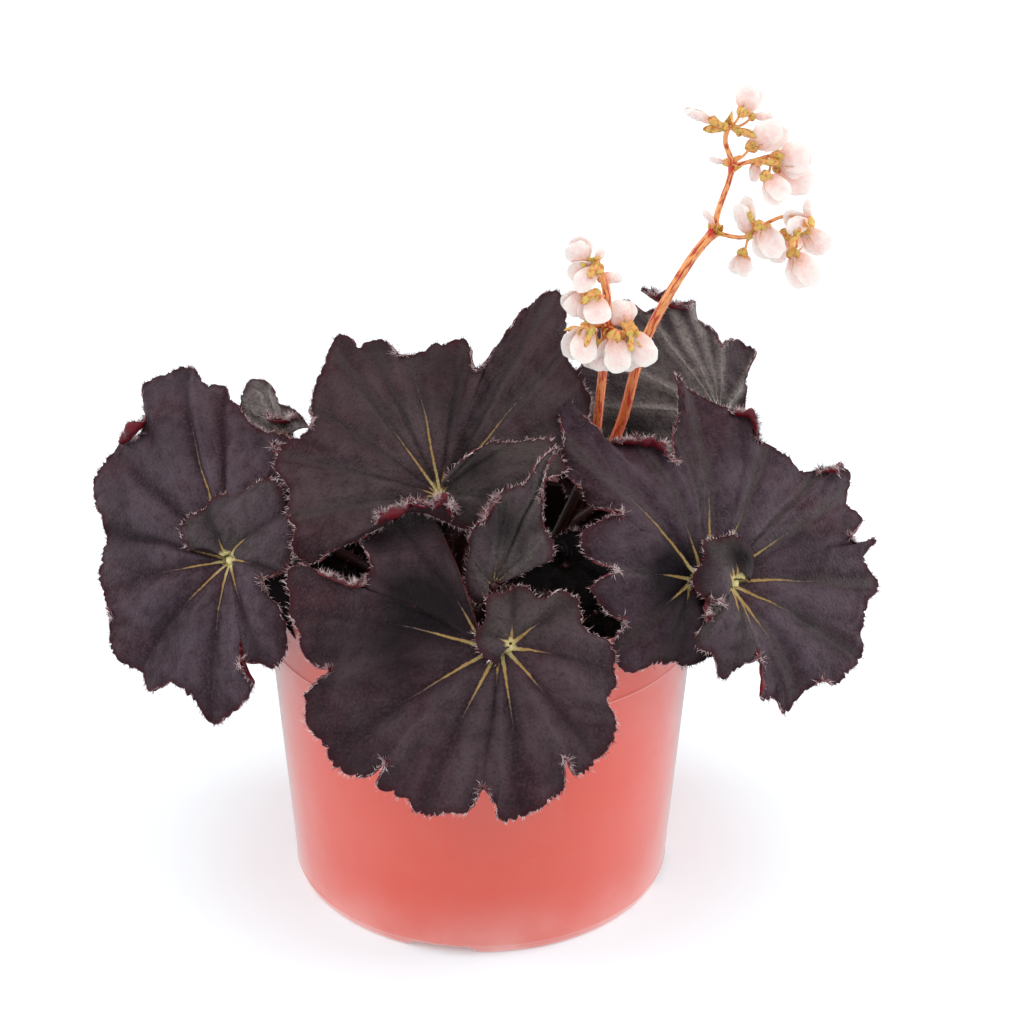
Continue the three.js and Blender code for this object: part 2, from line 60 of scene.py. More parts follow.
# Heights of a stem's straight foot, in millimetres: its end in the soil, and where it starts to lean
FOOT_HEIGHTS = (66, 76, 84)
HUB_RADIUS = 1.1

# The order of the materials in a leaf's, a spray's and the soil's mesh
BLADE_TOP, BLADE_UNDER, HAIR, STALK = range(4)
PETAL, POD, STEM, HAIR_PALE = range(4)
PEAT, PERLITE, FIBRE = range(3)

# The places of the colours and the result on a Mix node that mixes colours
MIX_FACTOR, MIX_FIRST, MIX_SECOND, MIX_RESULT = 0, 6, 7, 2

# A colour in deep shade, as the linear values that a shader takes
SHADE = (0.003, 0.0015, 0.0015)

# Distances from a blade's edge, in millimetres, at which its outer rings lie
BLADE_BORDER = np.array([0, 0.3, 0.7, 1.2, 1.8, 2.5, 3.4, 4.6])
# The rounded teeth of a blade's edge: how far apart and how high they are
TEETH = {"spacing": 2.7, "height": 0.95}
# How the edge rolls up at a bite, over its own underside
ROLL = {"lip": 0.5, "length": 1.5, "radius": 0.8}
# An edge point that is raised by this much or more is a bite
BITE = 1.5
# The blade's relief, in millimetres: the swelling between two veins, the pillows between side veins and how
# far apart those are, the fine puckers and the ruffle of the edge
RELIEF = {"swell": 2.3, "pillow": 0.24, "pillow_spacing": 5.2, "pucker": 0.2, "ruffle": 1.1}
# The depth in a vein and the distance from one that a point has where there is none
NO_VEIN, FAR_FROM_VEINS = -9.0, 60.0
# A curl of the margin: how far it turns, in degrees, and how many points it has across
CURL = {"turn": 165, "points": 13}
# A leaf stalk and a flower stem: steps along the path, or for each of its points, sides, and hairs for each
# millimetre. Thin branches have fewer sides.
LEAF_STALK = {"steps": 70, "sides": 14, "hairs": 3.2}
FLOWER_STEM = {"steps": 14, "sides": 14, "thin_sides": 9, "hairs": 2.2}

# The hairs of each place: the shortest and the longest, their radius and how far their tips sway
STALK_HAIRS = (0.7, 2.0, 0.07, 0.12)
UNDERSIDE_HAIRS = (0.5, 1.3, 0.055, 0.08)
STEM_HAIRS = (0.4, 1.0, 0.045, 0.06)
RHIZOME_HAIRS = (0.5, 1.5, 0.07, 0.15)
# The hairs of a blade's edge: how far apart they are, their radius, their sway and how many each bite has
MARGIN_HAIRS = {"spacing": 0.36, "radius": 0.09, "sway": 0.34, "star": 30}

# The flowers: a petal's thickness, its and a pod's grids, a flower's own thin stalk and its filaments
PETAL_THICKNESS = 0.3
PETAL_GRID = (15, 13)
POD_GRID = (11, 24)
FLOWER_STALK = {"radius": 0.34, "sides": 8, "steps": 9, "sag": 0.12}
FILAMENTS = 12

PAD_RADIUS = 13
POT_SEGMENTS = 288
FOOT_RING = {"height": 3, "width": 3.2}
NOTCH = {"azimuth": -11.6, "width": 15, "flare": 3, "height": 2.2}
DRAIN = {"count": 6, "radius": 3.5, "ring": 34}
SOIL_MIDDLE = 75.5
DRAIN_SIDES = 32
SOIL_SEGMENTS = 132
SOIL_RINGS = 45
RHIZOME = {"reach": 24, "steps": 90, "sides": 40, "hairs": 420}

# The studio: the world's light, the wide overhead light with the direction it comes from, and each
# softbox's place, target, size in metres and power in watts
WORLD_LIGHT = 0.72
FLOOR_GLOW = 0.19
FLOOR_REACH = 400
OVERHEAD = {"strength": 1.3, "spread": 75, "from": (-0.08, -0.3, 1)}
SOFTBOXES = (
    ("Left softbox", (-0.9, 0.1, 0.35), (0, 0, 0.06), (0.5, 0.9), 3.2),
    ("Right softbox", (0.9, 0.15, 0.35), (0, 0, 0.06), (0.5, 0.9), 5),
)

# What a leaf has where it doesn't say otherwise. From 0 to 1: how warm its brown is, how wide its veins are,
# how clear the star in their middle is, how green and how pale it is, how broad the painted sheen is that
# runs pale along its veins, how dark the painted shade is on the start of the blade, under its last lobe, and
# how dark the painted shade is over the whole leaf. Its grid's columns are so many times further apart, and
# it has so many rings. The neck, from the stalk's bend to the blade, and the stalk's radius are millimetres.
# A fold of -1 has its veins on ridges. The blade's middle shifts along the ramp, or lies off the hub.
PLAIN_LEAF = {
    "tone": 0.4, "vein_share": 1, "star": 1, "greenness": 0, "pallor": 0, "streak": 0, "shade_under_lobe": 0,
    "dimness": 0, "coarseness": 1, "rings": 23, "neck": 8, "stalk": 2.0, "fold": 1, "shift": (0, 0),
    "centre": (0, 0), "patches": (), "curls": (),
}

# The leaves that show from the front. Lengths are millimetres and angles degrees. A leaf's edge goes
# round its blade from the lobe underneath to the one on top: right, up and out of its own plane.
# A vein is how far round the blade it lies and how far out its pale stretch reaches, from 0 to 1.
# Patches paint light and shade: a darker one is painted shade, in hollows and where other leaves shade the
# blade, and a paler one painted light, where the blade catches it. Each gives right, up, radius, and from -1,
# dark, to 1, pale. A curl of the margin shows the crimson underside: its radius, then places across the
# blade.
SHOWN_LEAVES = {
    "leaf_left": {
        "hub": (-64, -26, 103), "face": -22, "rise": 36, "foot": (-20, -8), "way": [(-42, -14, 92)],
        "bend": (6, 7), "dome": 3, "ramp": 5, "tone": 0.15, "vein_share": 0.75, "shade_under_lobe": 0.9,
        "edge": [
            (19, -17, -6), (15, 0, -5), (11, 15, -3), (9, 26, -1), (5, 34), (-3, 37), (-11, 41.5),
            (-15.5, 43.5), (-20, 47.5), (-26, 48), (-31, 51.5), (-35, 52), (-39, 50), (-44, 49), (-45, 46),
            (-41.5, 38.5), (-39.5, 30, 2), (-45, 28), (-49, 24.5), (-50.5, 20), (-47.5, 11), (-42.5, 6),
            (-42, 2.5), (-39, -1), (-39.5, -5), (-34.5, -15), (-31, -20, 1.5), (-30.5, -25), (-28, -29.5),
            (-21.5, -32.5), (-14.5, -36), (-8, -34.5), (-3.5, -37), (1.5, -39.5), (7, -39), (13, -34),
            (13.5, -29.5), (10.5, -26, 2), (14, -24.5), (18, -25), (21.5, -23.5), (21, -17), (18.5, -12.5),
            (16.8, -9.5), (14, -7), (11.5, -3.5, 1.6), (13, -1.5), (16.5, 0), (17.5, 5), (15, 11), (12, 16.5),
            (7.5, 21), (-3, 18.5), (-11.5, 12.5), (-14, 6), (-10.5, 0.5),
        ],
        "veins": [
            (0.068, 0.31), (0.14, 0.36), (0.199, 0.71), (0.318, 0.29), (0.399, 0.35), (0.451, 0.56),
            (0.527, 0.5), (0.601, 0.51), (0.693, 0.45), (0.844, 0.59), (0.908, 0.47), (0.96, 0.32),
        ],
        "patches": [
            (-6, 8, 7, -0.3), (-29, 0, 7, -0.4), (-37, 3, 6, -0.3), (-41, 13, 6, -0.3), (-30, 28, 8, -0.3),
            (-10, -19, 7, -0.3), (11, 14, 8, 0.9), (10, -18, 7, 0.7), (11, -5, 5, 0.7), (-29, 46, 7, 0.5),
            (-40, 24, 5, 0.5), (-37, -9, 6, 0.4),
        ],
        "curls": [
            (1.7, [(-45, 28.5), (-41, 30), (-40, 36)]), (1.0, [(2, 33.5), (7, 28)]),
        ],
    },
    "leaf_upper": {
        "hub": (-5, -34, 120), "face": -4, "rise": 38, "foot": (-7, -6), "way": [(-6, -12, 100)],
        "bend": (6, 8), "dome": 3, "ramp": 7, "centre": (-5.4, 4), "tone": 0.85, "vein_share": 0.8, "star": 0,
        "streak": 0.1,
        "edge": [
            (25, 19, -7), (30.5, 28, -8), (31.5, 36, -8), (29, 41, -4), (25, 46, 1), (24.5, 54), (23.5, 62.5),
            (21, 66), (13.5, 60), (9, 52), (7, 48.5), (5, 42.5), (2.5, 39, 1.6), (0, 41.5), (-0.5, 47),
            (-3, 49.5), (-8.5, 47), (-14, 44.5), (-18.5, 44.5, 1.6), (-23.5, 48.5), (-28.5, 49), (-30, 46.5),
            (-33, 50.5), (-35.5, 50.5), (-37.5, 46), (-39, 40), (-40.5, 30), (-39.5, 23.5, 2), (-43, 21),
            (-48.5, 16.5), (-48.5, 12), (-45.5, 5), (-43.5, -1), (-42.5, -6), (-41, -12), (-37.5, -14),
            (-30, -10.5), (-24, -7), (-20, -4.8), (-13, -1), (-9, -1), (-5, -2.5), (0, -4), (6, -2.5),
            (12, 2), (18, 6.5), (26, 11.5), (21, 19, 1.4), (13.5, 19, 1.4), (9, 17.5, 1.4), (4.5, 15.5, 1.4),
            (0, 12.5, 1.4), (-4.5, 8, 1),
        ],
        "veins": [
            (0.03, 0.25), (0.083, 0.75), (0.135, 0.1), (0.278, 0.2), (0.333, 0.85), (0.38, 0.1), (0.46, 0.5),
            (0.504, 0.1), (0.562, 0.15), (0.616, 0.1), (0.769, 0.05), (0.819, 0.05), (0.845, 0.05),
            (0.922, 0.08), (0.968, 0.05),
        ],
        "patches": [
            (4, 11, 6, -0.7), (-2, -2, 4, -0.6), (-7, 40, 6, -0.5), (-4, 27, 6, -0.4), (-26, 46, 6, -0.3),
            (-36, 34, 5, -0.2), (-15, 40, 3, 0.6), (-10.5, 25, 3, 0.5), (20, 58, 6, 0.3), (-36, 4, 7, 0.3),
        ],
        "curls": [
            (2.0, [(-21.5, -4), (-18.5, -2), (-15, -0.5), (-12.5, 2.5)]),
            (0.7, [(-12, 1), (-9.5, 0.5), (-7.5, 0.5)]), (2.0, [(-7.5, 0.5), (-5, 2), (-2, 1), (-0.5, -2)]),
        ],
    },
    "leaf_front": {
        "hub": (4, -62, 96), "face": 4, "rise": 44, "foot": (9, -25), "way": [(8, -36, 92), (5, -53, 97)],
        "bend": (5, 8), "dome": 3, "ramp": 5, "shift": (7, -1), "neck": 4, "tone": 0.65, "shade_under_lobe": 0.5,
        "edge": [
            (-13, 35, -4), (-14.5, 41, -5), (-16, 45.5, -6), (-19.5, 45, -7), (-24, 41, -6), (-28, 37, -4),
            (-31.5, 32.5, -2), (-30, 26), (-30.2, 21), (-32, 18, 1.6), (-36, 19.5), (-40, 21.5), (-43, 23.2),
            (-46.5, 25), (-49, 26), (-51, 22), (-50.5, 16), (-48.5, 8), (-48, 3.5), (-45, -1),
            (-42.5, -4, 1.6), (-45, -7.5), (-47.5, -9), (-46.5, -14.5), (-43, -22), (-38, -27), (-32, -29),
            (-29, -27.5, 2), (-29.5, -32), (-23.5, -36.5), (-15, -39), (-9, -38.5), (-5.5, -34.5, 2),
            (-2, -37), (-1.5, -40.5), (5, -39.5), (10, -37.5), (14.5, -33.5), (14.5, -29, 2), (18, -31),
            (21, -29), (25, -25.5), (27.5, -19), (26.5, -13.5), (28, -8), (28, -2), (26, 1.5), (22, 3.5),
            (21, 9), (18.5, 13), (15.5, 14), (13, 12), (10.5, 12.5), (6.5, 15.5), (2.5, 13.5), (-2.5, 12),
            (-3.5, 8), (-5.5, 3.5), (-4.5, -2.5), (-1, -5.5),
        ],
        "veins": [
            (0.07, 0.33), (0.275, 0.48), (0.41, 0.55), (0.498, 0.53), (0.542, 0.27), (0.59, 0.53),
            (0.684, 0.5), (0.749, 0.45), (0.825, 0.46), (0.905, 0.31), (0.966, 0.39),
        ],
        "patches": [
            (-15, 10, 10, -1.1), (-18, 31, 5, 0.7), (-24, -6, 8, -0.4), (-23, 17, 7, -0.6), (-28, 2, 7, -0.6),
            (-41, 3, 7, -0.4), (-44, -9, 7, -0.3), (-37, -27, 8, -0.5), (17, -25, 6, 0.6), (2, -3, 6, 0.5),
            (17, -8, 6, 0.5), (-10, -30, 8, 0.2),
        ],
        "curls": [
            (0.6, [(-43, 23), (-39, 20.5), (-35.5, 18.5), (-32, 18)]),
        ],
    },
    "leaf_right": {
        "hub": (58.5, -38, 102.7), "face": 22, "rise": 38, "foot": (22, -12), "way": [(42, -20, 92)],
        "bend": (5, 7), "dome": 3, "ramp": 6, "shift": (11, -4), "tone": 0.2, "shade_under_lobe": 0.9, "streak": 0.15,
        "edge": [
            (14, -8, -2), (-4, -18), (-8.5, -19), (-12, -19), (-17, -18), (-21, -17.5), (-26, -17),
            (-29.5, -12.5), (-26.5, -6, 1.6), (-29.5, -2), (-31.5, 4), (-27, 7, 2), (-30, 11), (-30.5, 18),
            (-26, 20.5), (-20.5, 22, 2), (-25, 25.5), (-26, 31), (-28.5, 36), (-27.5, 43), (-26, 50.5, 1),
            (-23.5, 58, 1.4), (-21.5, 52, 1), (-18.5, 47, 1), (-14.5, 43), (-12, 41), (-7, 42), (-3, 39.5),
            (-2, 33.5, 2), (1, 36), (3.5, 43), (7, 48), (8.5, 53), (9.5, 58), (12.5, 53), (17.5, 48),
            (21, 45), (25, 43.5), (24.5, 36, 2), (29, 33), (33, 29), (38.5, 25.5), (42.5, 25.5),
            (46, 24.5, 1.6), (50, 27), (50.5, 22), (47.5, 15.5), (49, 10.5), (46, 8), (43, 5, 2), (45.5, 3.5),
            (51, 4), (47, -1), (46, -4), (47.5, -8.5), (44.5, -11.5), (40.5, -15.5), (39, -23.5), (36, -26.5),
            (31, -29), (27.5, -31.5), (22.5, -30, 1.6), (19, -31), (11, -35.5), (8.5, -32.5), (4, -31),
            (5.5, -27), (5, -22.5, 1.5), (1, -22.5), (-5, -24), (-6.5, -19), (-10, -16), (-10, -13.5),
            (-4.5, -8), (-1.5, -6.5, 1.6), (-6, -3), (-6, 2), (-2.5, 5.5), (-1, 9.5), (4.5, 10.5),
            (8.5, 10.5), (12, 8), (12.5, 2.5), (9.5, -2.5),
        ],
        "veins": [
            (0.05, 0.33), (0.087, 0.43), (0.136, 0.52), (0.233, 0.63), (0.315, 0.37), (0.366, 0.26),
            (0.407, 0.48), (0.464, 0.55), (0.506, 0.27), (0.548, 0.54), (0.65, 0.62), (0.698, 0.51),
            (0.753, 0.57), (0.817, 0.51), (0.864, 0.2), (0.956, 0.34),
        ],
        "patches": [
            (-8, 6, 7, -0.9), (-13, 0, 8, -0.8), (-17, -12, 7, -0.3), (-20.5, 17, 5, 0.6), (7.5, 4, 5, -1),
            (29, -21, 6, -0.3), (28, 1, 8, -0.5), (19, 31, 6, -0.4), (21, -14, 5, -0.2), (15, 34, 5, -0.2),
            (-16, 30, 6, 0.5), (-15, 20, 5, 0.5), (8.5, -17, 6, 0.6), (-0.5, -3, 4, 0.6), (33, 34, 6, 0.4),
            (-27, 8, 6, 0.7), (1, 26, 5, 0.3),
        ],
        "curls": [
            (1.6, [(-14, 42.5), (-8, 41.5), (-3.5, 39), (-2, 34)]), (1.2, [(20, 45), (24.5, 43), (25, 36.5)]),
            (1.0, [(40, 25.5), (45, 24.5)]), (0.6, [(-4, -4.5), (-5.5, -7.5), (-6.5, -10)]),
        ],
    },
    # Its grey-olive colour and broad pale streaks along the veins paint the grey sheen that this blade shows
    # at a grazing angle
    "leaf_back_right": {
        "hub": (66, 24, 125), "face": 2, "rise": 20, "foot": (24, 6), "way": [(46, 14, 102), (58, 22, 115)],
        "bend": (-5, 5), "dome": 2, "ramp": 4, "neck": 3, "fold": -1, "vein_share": 0.5, "star": 0,
        "greenness": 0.9, "pallor": 0.25, "streak": 0.75,
        "edge": [
            (9, -14), (7.5, -4), (7, 4), (7.5, 11), (10, 17), (6, 20.5), (0, 20.5, 1.6), (-1.5, 23.5),
            (-5.5, 25), (-6.5, 31), (-9, 31, 1.6), (-13, 30), (-19.5, 29.5), (-22, 28.5), (-25, 31.5),
            (-29.5, 31), (-35.5, 21), (-38, 13), (-43, 9), (-45, 2), (-47, -12), (-43, -22), (-28, -21),
            (-12, -22), (-2, -18),
        ],
        "veins": [
            (0.116, 0.36), (0.255, 0.45), (0.34, 0.36), (0.461, 0.43), (0.535, 0.44), (0.68, 0.31),
            (0.785, 0.25), (0.902, 0.26),
        ],
        "patches": [
            (-25, -5, 7, -0.8), (-43, -17, 9, -1.1), (-32, 6, 7, -0.4), (1, 11, 5, 0.6), (5, 17, 5, 0.6),
            (-10, 20, 6, 0.4),
        ],
        "curls": [
            (1.6, [(-21.5, 35), (-17.5, 33.5), (-13.5, 31), (-8, 29.5)]),
        ],
    },
    "leaf_young": {
        "hub": (3, -45, 105), "face": -8, "rise": 12, "foot": (-1, -20), "way": [(1, -32, 92)],
        "bend": (-6, 3), "dome": 1, "ramp": 2.5, "stalk": 1.5, "tone": 0.6, "vein_share": 0.25, "star": 0,
        "greenness": 0.6, "pallor": 0.1, "streak": 0.25,
        "edge": [
            (1.5, 0.8), (9, 4.8), (15, 8.2), (13, 13), (11.5, 19), (11.5, 25, 1.6), (12.5, 30, 1),
            (14, 35, 1), (8, 29), (4, 26), (0.5, 23), (-2.5, 17), (-6, 13), (-6.5, 6), (-7, 0), (-4, -4),
            (0, -4),
        ],
        "veins": [(0.2, 0.4), (0.4, 0.4), (0.6, 0.4), (0.8, 0.4)],
        "patches": [(3.5, 14.5, 6, -0.7), (11, 11, 3, 0.4), (0, 4, 5, 0.3)],
        "curls": [
            (0.7, [(-3, 16.5), (-1.5, 20.5), (1, 23.5)]),
        ],
    },
    # Its pale grey-olive colour is partly its own and partly painted light, which offsets the shade that its
    # tilt gives it
    "leaf_small_grey": {
        "hub": (-52, 3, 126), "face": -12, "rise": 30, "foot": (-18, 4),
        "way": [(-34, 3, 104), (-46, 5, 117)], "bend": (3, 3), "dome": 1, "ramp": 2.5, "neck": 3,
        "stalk": 1.5, "vein_share": 0.3, "star": 0, "greenness": 1.0, "pallor": 1.0,
        "edge": [
            (6.5, 3), (3, 6.5), (0, 8), (-3.5, 9.5), (-5.5, 12.5), (-8, 14.5), (-11.5, 14.5), (-13, 11),
            (-14.5, 5), (-17, -2), (-14, -8), (-6, -12), (3, -12), (7, -5),
        ],
        "veins": [(0.2, 0.6), (0.4, 0.5), (0.6, 0.5), (0.8, 0.5)],
        "curls": [
            (1.0, [(-6, 6), (-2, 4.5), (3, 6)]),
        ],
    },
}

# Leaves that the front view hides: hub, face, rise, foot, radius, seed and way, as the leaves above have them
HIDDEN_LEAVES = {
    "leaf_crown": ((-8, 15, 121), 172, 70, (-7, 8), 30, 3, [(-8, 11, 102)]),
    "leaf_back_left": ((-55, 36, 99), -130, 50, (-17, 14), 35, 5, [(-30, 24, 94)]),
    "leaf_back": ((5, 55, 105), -180, 48, (2, 20), 39, 7, [(4, 38, 92)]),
    "leaf_back_low": ((60, 42, 94), 122, 46, (16, 18), 33, 9, [(36, 32, 95), (49, 37, 97)]),
    "leaf_right_low": ((73, 4, 90), 84, 42, (28, -2), 31, 11, [(46, 2, 96), (60, 3, 97)]),
    "leaf_left_low": ((-76, -5, 90), -84, 42, (-28, 2), 29, 13, [(-46, 0, 96), (-61, -3, 97)]),
    "leaf_middle_low": ((22, -17, 97), 20, 56, (14, -12), 16, 15, [(17, -14, 90)]),
}
HIDDEN_STYLE = {
    "neck": 4, "bend": (7, 9), "dome": 2.5, "ramp": 4, "coarseness": 1.5, "rings": 14,
    "veins": [(0.08, 0.4), (0.18, 0.4), (0.29, 0.5), (0.4, 0.55), (0.5, 0.6), (0.6, 0.55), (0.7, 0.5),
              (0.81, 0.45), (0.92, 0.4)],
}
# Tints of hidden leaves; leaf_middle_low is painted almost black, as painted shade in the dark gap under the
# other leaves
HIDDEN_TINTS_AND_SHADE = {
    "leaf_back_low": {"greenness": 0.5},
    "leaf_middle_low": {"vein_share": 0.3, "star": 0, "dimness": 0.97},
}

# The flower sprays. A branch has its radius and the points on its way. A flower hangs from its branch by a
# thin stalk: where that starts, the pod, the petals' tip, their width and what it is.
SPRAYS = {
    "spray_tall": {
        "foot": (15, 6),
        "branches": [
            (1.7, [(36, 6, 125), (43, 6, 152), (55, 7, 175), (60, 8, 181)]),
            (0.85, [(60, 8, 181), (61, 9, 186), (64, 9, 198), (62, 9, 205), (63, 9, 209)]),
            (0.58, [(60, 8, 181), (68, 7, 180), (74, 7, 184), (79, 6, 186), (82, 6, 185)]),
            (0.58, [(64, 9, 198), (70, 8, 200), (74, 8, 201), (77, 8, 200)]),
        ],
        "flowers": [
            ((67, 7, 180), (69, 7, 181), (66, 5, 191), 4.5, "open"),
            ((69, 7, 181), (68, 8, 175), (67, 8, 169), 5, "open"),
            ((74, 7, 184), (72, 5, 183), (76, 3, 175), 7, "open"),
            ((80, 6, 186), (84, 6, 184), (77, 4, 185), 5, "open"),
            ((82, 6, 185), (84, 9, 181), (89, 11, 174), 7.5, "open"),
            ((82, 6, 185), (81, 5, 176), (85, 3, 167), 7, "open"),
            ((79, 6, 186), (79, 9, 180), (75, 12, 173), 6.5, "open"),
            ((82, 6, 185), (84, 7, 185), (84, 8, 190), 3.5, "bud"),
            ((64, 9, 199), (69, 8, 204), (77, 6, 209), 7, "open"),
            ((77, 8, 200), (76, 7, 201), (84, 5, 200), 9, "open"),
            ((77, 8, 200), (77, 9, 198), (83, 11, 190), 9, "open"),
            ((74, 8, 201), (73, 6, 196), (77, 3, 190), 6, "open"),
            ((70, 8, 200), (70, 8, 199), (70, 10, 194), 4, "bud"),
            ((63, 9, 208), (66, 8, 213), (69, 9, 219), 6.5, "open"),
            ((63, 9, 208), (69, 9, 211), (74, 9, 211), 2.5, "bud"),
            ((63, 9, 208), (58, 8, 210), (51, 7, 213), 3.5, "bud"),
            ((63, 9, 208), (66, 9, 207), (70, 10, 206), 3, "bud"),
            ((63, 9, 208), (61, 8, 208), (56, 7, 208), 2.6, "husk"),
            ((63, 9, 208), (61, 7, 209), (57, 6, 211), 2.3, "husk"),
            ((63, 9, 208), (65, 8, 208), (70, 7, 206), 2.3, "husk"),
            ((70, 8, 200), (71, 6, 200), (76, 5, 200), 2.3, "husk"),
            ((69, 7, 181), (70, 6, 184), (67, 5, 189), 2.1, "husk"),
            ((74, 7, 184), (74, 5, 183), (76, 3, 179), 2.3, "husk"),
            ((82, 6, 185), (81, 4, 182), (79, 3, 178), 2.3, "husk"),
            ((60, 8, 182), (60, 8, 183), (57, 8, 187), 2.5, "bud"),
            ((64, 9, 198), (62, 9, 199), (58, 9, 200), 2, "bud"),
        ],
    },
    "spray_short": {
        "foot": (14, -3),
        "branches": [
            (1.4, [(29, -1, 122), (31, -3, 140), (32, -3, 155), (32, -4, 168), (31, -4, 172), (29, -4, 176)]),
            (0.58, [(32, -3, 159), (28, -6, 160), (25, -8, 160)]),
            (0.58, [(32, -3, 159), (35, -7, 159), (39, -8, 158)]),
        ],
        "flowers": [
            ((26, -7, 160), (27, -9, 160), (23, -12, 152), 7.5, "open"),
            ((29, -6, 160), (30, -8, 155), (29, -10, 149), 5.5, "open"),
            ((34, -6, 159), (34, -10, 158), (33, -12, 149), 7.5, "open"),
            ((36, -7, 159), (36, -7, 157), (37, -6, 148), 6.5, "open"),
            ((39, -8, 158), (39, -9, 159), (41, -11, 150), 7.5, "open"),
            ((37, -7, 159), (37, -4, 160), (35, -1, 166), 7, "open"),
            ((32, -4, 168), (26, -5, 168), (21, -6, 164), 6, "open"),
            ((32, -4, 168), (29, -7, 168), (28, -9, 161), 7.5, "open"),
            ((29, -4, 176), (26, -5, 177), (23, -6, 183), 6.5, "open"),
            ((31, -4, 172), (29, -6, 175), (22, -7, 172), 6, "open"),
            ((29, -4, 176), (29, -6, 177), (27, -8, 173), 2.3, "husk"),
            ((32, -4, 168), (29, -7, 169), (25, -9, 167), 2.3, "husk"),
            ((26, -7, 160), (28, -10, 160), (26, -12, 156), 2.1, "husk"),
            ((36, -7, 159), (38, -10, 159), (38, -12, 155), 2.1, "husk"),
            ((32, -4, 170), (31, -2, 172), (36, 0, 171), 4, "bud"),
            ((29, -4, 175), (29, -4, 177), (31, -3, 180), 3, "bud"),
        ],
    },
}


def linear(red, green, blue):
    """A screen colour of 0 to 255 as the linear values that a shader takes."""
    shares = (value / 255 for value in (red, green, blue))
    return tuple(part / 12.92 if part < 0.039 else ((part + 0.055) / 1.055) ** 2.4 for part in shares)


def colour(name, description, *screen):
    """A colour property with its default given as a screen colour."""
    return FloatVectorProperty(name=name, description=description, subtype="COLOR", min=0, max=1,
                               default=linear(*screen))


def length(name, description, millimetres):
    """A length property with its default given in millimetres."""
    return FloatProperty(name=name, description=description, default=millimetres * MM, min=0, unit="LENGTH",
                         precision=4)


def angle(name, description, degrees):
    """An angle property with its default given in degrees."""
    return FloatProperty(name=name, description=description, default=math.radians(degrees), subtype="ANGLE")


def number(name, description, count):
    """A property that counts things."""
    return IntProperty(name=name, description=description, default=count, min=0)


class StageSettings(bpy.types.PropertyGroup):
    """The camera, the floor and the lights."""

    distance: length("Camera distance", "From the pot's axis to the camera, level", 500)
    camera_height: length("Camera height", "From the floor to the camera", 321)
    focal_length: FloatProperty(name="Focal length", description="The camera's lens", default=71.05,
                                min=1, unit="CAMERA")
    tilt: angle("Tilt", "How far down the camera looks", 23.3)
    turn: angle("Turn", "How far right the camera looks", 0.94)
    roll: angle("Roll", "How far the camera leans", 0.38)
    floor: colour("Floor", "The pale floor's colour", 230, 243, 248)
    brightness: FloatProperty(name="Brightness", description="Scales all the lights", default=1, min=0)


class PotSettings(bpy.types.PropertyGroup):
    """The nursery pot."""

    height: length("Height", "From the floor to the rim", POT_TOP / MM)
    base_radius: length("Base radius", "The wall's radius on the floor", 52.7)
    line_height: length("Line height", "The height of the thin raised line", 73.8)
    line_radius: length("Line radius", "The wall's radius at the raised line", 58)
    wall: length("Wall", "The wall's thickness", 1.3)
    plastic: colour("Plastic", "The moulded plastic's colour", 214, 76, 58)
    faded: colour("Faded", "The paler patches of the plastic", 210, 92, 79)
    # The foot colour is painted light: the paler pink that light from the glowing floor gives the lowest part
    # of the pot
    foot: colour("Foot", "The bleached plastic near the floor", 236, 170, 164)
    # The inside colour is painted shade: it darkens the inner wall, which the leaves keep in shade
    inside: colour("Inside", "The plastic inside, stained by the soil", 40, 14, 12)


class SoilSettings(bpy.types.PropertyGroup):
    """The soil, and the rhizome that lies in it."""

    top: length("Top", "The mean height of the soil's surface", 78)
    bump: length("Bump", "How far its surface rises and falls", 1.6)
    crumbs: number("Crumbs", "How many loose crumbs lie on it", 700)
    grains: number("Grains", "How many white perlite grains lie on it", 26)
    fibres: number("Fibres", "How many bark fibres lie on it", 90)
    # Both soil colours are peat's colours made darker, to paint the deep shade under the leaves inside the
    # pot
    dark: colour("Dark soil", "Damp peat", 14, 8, 8)
    light: colour("Light soil", "Dry fibres and bark", 42, 26, 20)
    perlite: colour("Perlite", "The white grains", 222, 218, 208)
    rhizome: colour("Rhizome", "The creeping stem's bark", 104, 76, 52)


